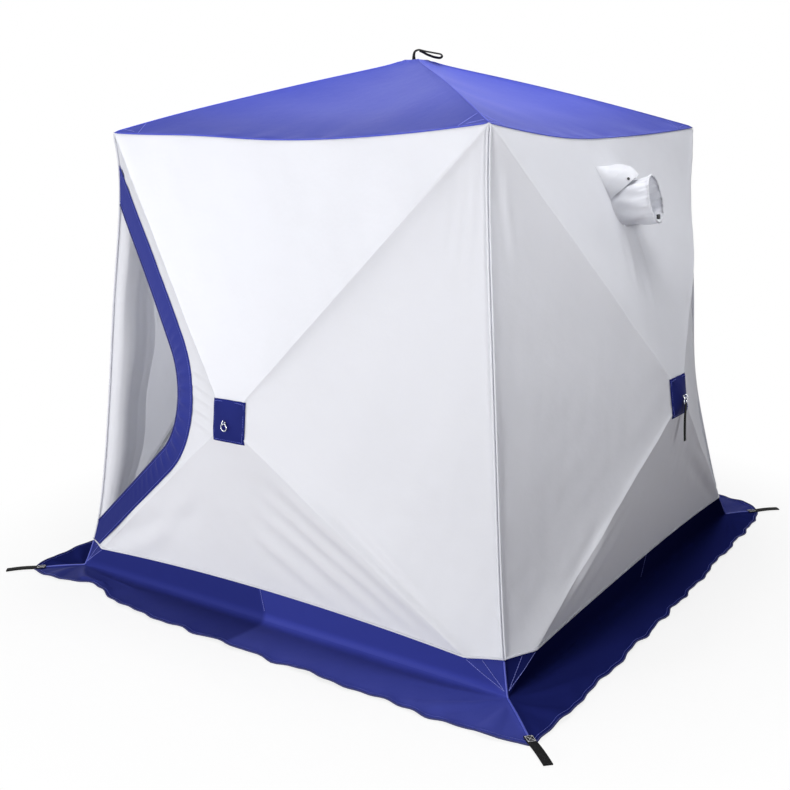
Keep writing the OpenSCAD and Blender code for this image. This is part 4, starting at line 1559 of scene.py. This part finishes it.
@dataclass
class Straps:
    """Black webbing: the stake straps at the skirt's corners, the pull strap and the roof's loop.

    tips is how far the skirt's corners lie out, and leans how far each stake strap turns from the diagonal.
    """

    form: HutForm
    tips: tuple[float, ...]
    leans: tuple[float, ...] = (0.03, 0.09, 0.05, 0.02)
    stake_wide: float = 0.030
    stake_thick: float = 0.0050
    pull_wide: float = 0.016
    pull_thick: float = 0.0035
    loop_wide: float = 0.020
    loop_thick: float = 0.0026
    loop_turn: float = math.radians(34.6)

    def build(self) -> None:
        """All webbing and its stitches."""
        for corner, name in enumerate(("sw", "se", "ne", "nw")):
            self.build_stake(corner, name)
        self.build_pull()
        self.build_loop()

    def build_stake(self, corner: int, name: str) -> None:
        """A stake strap: sewn flat on the skirt's corner, then a flat loop that lifts a little.

        Args:
            corner: which corner, round from the front left.
            name: its name in node names.
        """
        tip = self.form.base + self.tips[corner]
        way = np.array([[-1, -1], [1, -1], [1, 1], [-1, 1]][corner]) * math.sqrt(0.5)
        s = np.linspace(-0.048, 0.112, 40)
        lean = self.leans[corner]
        start = way * tip * math.sqrt(2)
        side = np.array([-way[1], way[0]])
        plan = start + s[:, None] * way + (lean * (s + 0.03))[:, None] * side
        rise = 0.0025 * np.sin(np.pi * np.clip((s + 0.01) / 0.12, 0, 1)) + 0.0072
        path = np.concatenate([plan, rise[:, None]], 1)
        across = np.broadcast_to(np.array([side[0], side[1], 0.0]), path.shape)
        web = Shape.ribbon(path, across, self.stake_wide, self.stake_thick)
        thing = web.build("stake_strap_" + name + "_webbing", WEB)
        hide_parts("stake_strap_" + name)
        low, high, half = -0.044, -0.014, 0.012
        marks = [(low, -half), (high, -half), (high, half), (low, half), (low, -half), (high, half),
                 (high, -half), (low, half)]
        line = np.concatenate([np.linspace(a, b, 12) for a, b in zip(marks[:-1], marks[1:])])
        place = start + line[:, :1] * way + (line[:, 1:] + lean * (line[:, :1] + 0.03)) * side
        height = np.interp(line[:, 0], s, rise) + 0.0028
        box = stitches(np.concatenate([place, height[:, None]], 1), radius=0.001, pitch=0.006)
        box.build("stake_strap_" + name + "_stitches", GREY_THREAD)

    def build_pull(self) -> None:
        """The pull strap: down from the right wall's ring, with a slight curl at its end."""
        low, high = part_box("right_pull_strap")
        z = np.linspace(high.z - 0.002, low.z + 0.001, 40)
        down = (high.z - z) / (high.z - low.z)
        out = high.x - 0.003 - (high.x - low.x - 0.006) * smooth(down, 0.0, 0.5) + 0.006 * down ** 3
        path = np.stack([out, 0.004 * np.sin(down * 3), z], -1)
        across = np.broadcast_to(np.array([0.0, 1.0, 0.0]), path.shape)
        web = Shape.ribbon(path, across, self.pull_wide, self.pull_thick)
        thing = web.build("right_pull_strap_webbing", WEB)
        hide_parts("right_pull_strap")

    def build_loop(self) -> None:
        """The roof's loop: a stem of webbing that bends over into a flat loop, along a rounded line of marks.

        marks are distances along the loop and above the roof's top, in metres.
        """
        turn = self.loop_turn
        marks = np.array([(-0.010, 0.000), (-0.010, 0.020), (-0.006, 0.035), (0.010, 0.041), (0.038, 0.034),
                          (0.075, 0.027), (0.103, 0.022), (0.110, 0.013), (0.098, 0.006), (0.072, 0.011),
                          (0.045, 0.021), (0.024, 0.033), (0.012, 0.037)])
        at, (out, rise) = rounded(marks, 140, 2.2, 8)
        path = np.stack([out * math.cos(turn), out * math.sin(turn), self.form.apex_z + rise], -1)
        twist = np.radians(18 + 30 * np.exp(-at / 0.02))
        flat = np.array([-math.sin(turn), math.cos(turn), 0.0])
        ahead = unit(np.gradient(path, axis=0))
        across = np.cos(twist)[:, None] * flat + np.sin(twist)[:, None] * np.cross(ahead, flat)
        web = Shape.ribbon(path, across, self.loop_wide, self.loop_thick)
        thing = web.build("roof_loop_webbing", WEB)
        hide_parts("roof_loop")


@dataclass
class Hardware:
    """The hard parts that come straight from the CAD frame: hubs, rods, eyes and rings."""

    def dress(self) -> None:
        """Gives each its finish."""
        sides = [s.label for s in Side]
        PLASTIC.dress("roof_hub", *(s + "_hub" for s in sides))
        ROD.dress("roof_rods", *(s + "_rods" for s in sides))
        STEEL.dress("hub_eyes", "pull_rings")


@dataclass(frozen=True)
class Lamp:
    """A soft box: its place, what it looks at, its side in metres, watts, and spread in degrees."""

    name: str
    place: tuple[float, float, float]
    target: tuple[float, float, float]
    size: float
    power: float
    spread: float = 180.0

    def build(self) -> None:
        """The lamp, turned to its target."""
        data = bpy.data.lights.new(self.name, "AREA")
        data.shape = "SQUARE"
        data.size = self.size
        data.energy = self.power
        data.spread = math.radians(self.spread)
        thing = bpy.data.objects.new(self.name, data)
        thing.location = self.place
        back = unit(np.array(self.place) - np.array(self.target))
        side = unit(np.cross([0, 0, 1.0], back))
        up = np.cross(back, side)
        thing.rotation_euler = Matrix(np.stack([side, up, back], 1).tolist()).to_euler()
        bpy.context.scene.collection.objects.link(thing)


@dataclass
class Studio:
    """Floor, world, soft boxes and the photo's camera.

    The floor is dull to all rays but the camera's, mirrored and let-through ones. To those it is pale near
    the hut, and white_near and white_far are the distances between which it turns to plain white.
    """

    dull_floor: str = "#4b2d12"
    pale_floor: str = "#f4f4f4"
    white: str = "#ffffff"
    white_near: float = 1.45
    white_far: float = 2.2
    white_least: float = 0.80
    floor_half: float = 40.0
    sky: str = "#eef2ff"
    sky_strength: float = 0.055
    focal_px: float = 1063.2
    photo_px: int = 790
    middle_px: float = 420.7
    camera_at: tuple[float, float, float] = (2.607, -3.780, 1.741)
    ahead: tuple[float, float, float] = (-0.55299, 0.80186, -0.22633)
    roll: float = math.radians(-0.75)
    lamps: tuple[Lamp, ...] = (
        Lamp("front", (0.4, -8.6, 1.0), (0.0, -1.0, 0.9), 2.0, 408),
        Lamp("overhead", (0.5, -0.3, 6.5), (0.2, -0.2, 0.0), 4.0, 335),
        Lamp("right", (6.5, -2.4, 2.8), (1.0, -0.6, 2.0), 2.0, 12, 34),
        Lamp("left", (-4.2, -6.8, 1.4), (-1.0, -1.0, 1.0), 2.0, 25, 60),
        Lamp("inside", (-0.25, 0.5, 1.1), (-1.0, -0.95, 1.0), 0.8, 1.7, 90),
    )

    def build(self) -> None:
        """Everything that isn't the hut."""
        bpy.context.scene.view_settings.view_transform = "Standard"
        self.build_floor()
        self.build_world()
        for lamp in self.lamps:
            lamp.build()
        self.build_camera()

    def seen(self, tree: bpy.types.NodeTree) -> bpy.types.NodeSocket:
        """1 for rays from the camera, or mirrored or let through on their way from it.

        Args:
            tree: where the nodes go.

        Returns:
            The value, 0 or 1.
        """
        rays = add(tree, "ShaderNodeLightPath").outputs
        first = add(tree, "ShaderNodeMath", {0: rays["Is Camera Ray"], 1: rays["Is Glossy Ray"]},
                    operation="MAXIMUM")
        both = add(tree, "ShaderNodeMath", {0: first.outputs[0], 1: rays["Is Transmission Ray"]},
                   operation="MAXIMUM")
        return both.outputs[0]

    def build_floor(self) -> None:
        """A pale floor: white to the camera further out, with the hut's soft shadow kept near it."""
        mesh = bpy.data.meshes.new("floor")
        far = self.floor_half
        mesh.from_pydata([(-far, -far, 0), (far, -far, 0), (far, far, 0), (-far, far, 0)], [], [(0, 1, 2, 3)])
        paint = bpy.data.materials.new("pale studio floor")
        paint.use_nodes = True
        tree = paint.node_tree
        tree.nodes.clear()
        dull = add(tree, "ShaderNodeBsdfDiffuse", {"Color": linear(self.dull_floor)})
        matt = add(tree, "ShaderNodeBsdfDiffuse", {"Color": linear(self.pale_floor)})
        glow = add(tree, "ShaderNodeEmission", {"Color": linear(self.white), "Strength": 1.0})
        place = add(tree, "ShaderNodeTexCoord").outputs["Object"]
        away = add(tree, "ShaderNodeVectorMath", {0: place}, operation="LENGTH").outputs["Value"]
        white = add(tree, "ShaderNodeMapRange", {
            "Value": away, "From Min": self.white_near, "From Max": self.white_far,
            "To Min": self.white_least})
        pale = add(tree, "ShaderNodeMixShader", {0: white.outputs[0], 1: matt.outputs[0], 2: glow.outputs[0]})
        both = add(tree, "ShaderNodeMixShader", {0: self.seen(tree), 1: dull.outputs[0], 2: pale.outputs[0]})
        add(tree, "ShaderNodeOutputMaterial", {"Surface": both.outputs[0]})
        mesh.materials.append(paint)
        floor = bpy.data.objects.new("floor", mesh)
        bpy.context.scene.collection.objects.link(floor)

    def build_world(self) -> None:
        """An even pale sky for light, and white for the camera."""
        world = bpy.data.worlds.new("studio")
        bpy.context.scene.world = world
        world.use_nodes = True
        tree = world.node_tree
        tree.nodes.clear()
        sky = add(tree, "ShaderNodeBackground", {"Color": linear(self.sky), "Strength": self.sky_strength})
        white = add(tree, "ShaderNodeBackground", {"Color": linear(self.white), "Strength": 1.0})
        both = add(tree, "ShaderNodeMixShader", {0: self.seen(tree), 1: sky.outputs[0], 2: white.outputs[0]})
        add(tree, "ShaderNodeOutputWorld", {"Surface": both.outputs[0]})

    def build_camera(self) -> None:
        """The camera fitted to the photo: place, direction, roll, focal length and sideways shift."""
        data = bpy.data.cameras.new("camera")
        data.sensor_width = 36.0
        data.lens = self.focal_px / self.photo_px * data.sensor_width
        data.shift_x = (self.photo_px / 2 - self.middle_px) / self.photo_px
        data.clip_end = 200
        ahead = np.array(self.ahead)
        side = unit(np.cross(ahead, [0, 0, 1.0]))
        up = np.cross(side, ahead)
        right = side * math.cos(self.roll) + up * math.sin(self.roll)
        above = up * math.cos(self.roll) - side * math.sin(self.roll)
        camera = bpy.data.objects.new("camera", data)
        camera.matrix_world = Matrix.Translation(self.camera_at) @ Matrix(
            np.stack([right, above, -ahead], 1).tolist()).to_4x4()
        bpy.context.scene.collection.objects.link(camera)
        bpy.context.scene.camera = camera


def main() -> None:
    """Builds the hut's pieces in order, then the studio."""
    logging.basicConfig(level=logging.INFO)
    form = HutForm()
    doorway = Doorway(form)
    foot = FootBand(form)
    for piece in (Walls(form, doorway), Roof(form), foot, HubPatches(form), doorway, Vent(form),
                  Straps(form, foot.tips)):
        LOG.info("building %s", type(piece).__name__)
        piece.build()
    Hardware().dress()
    Studio().build()


if __name__ == "__main__":
    main()
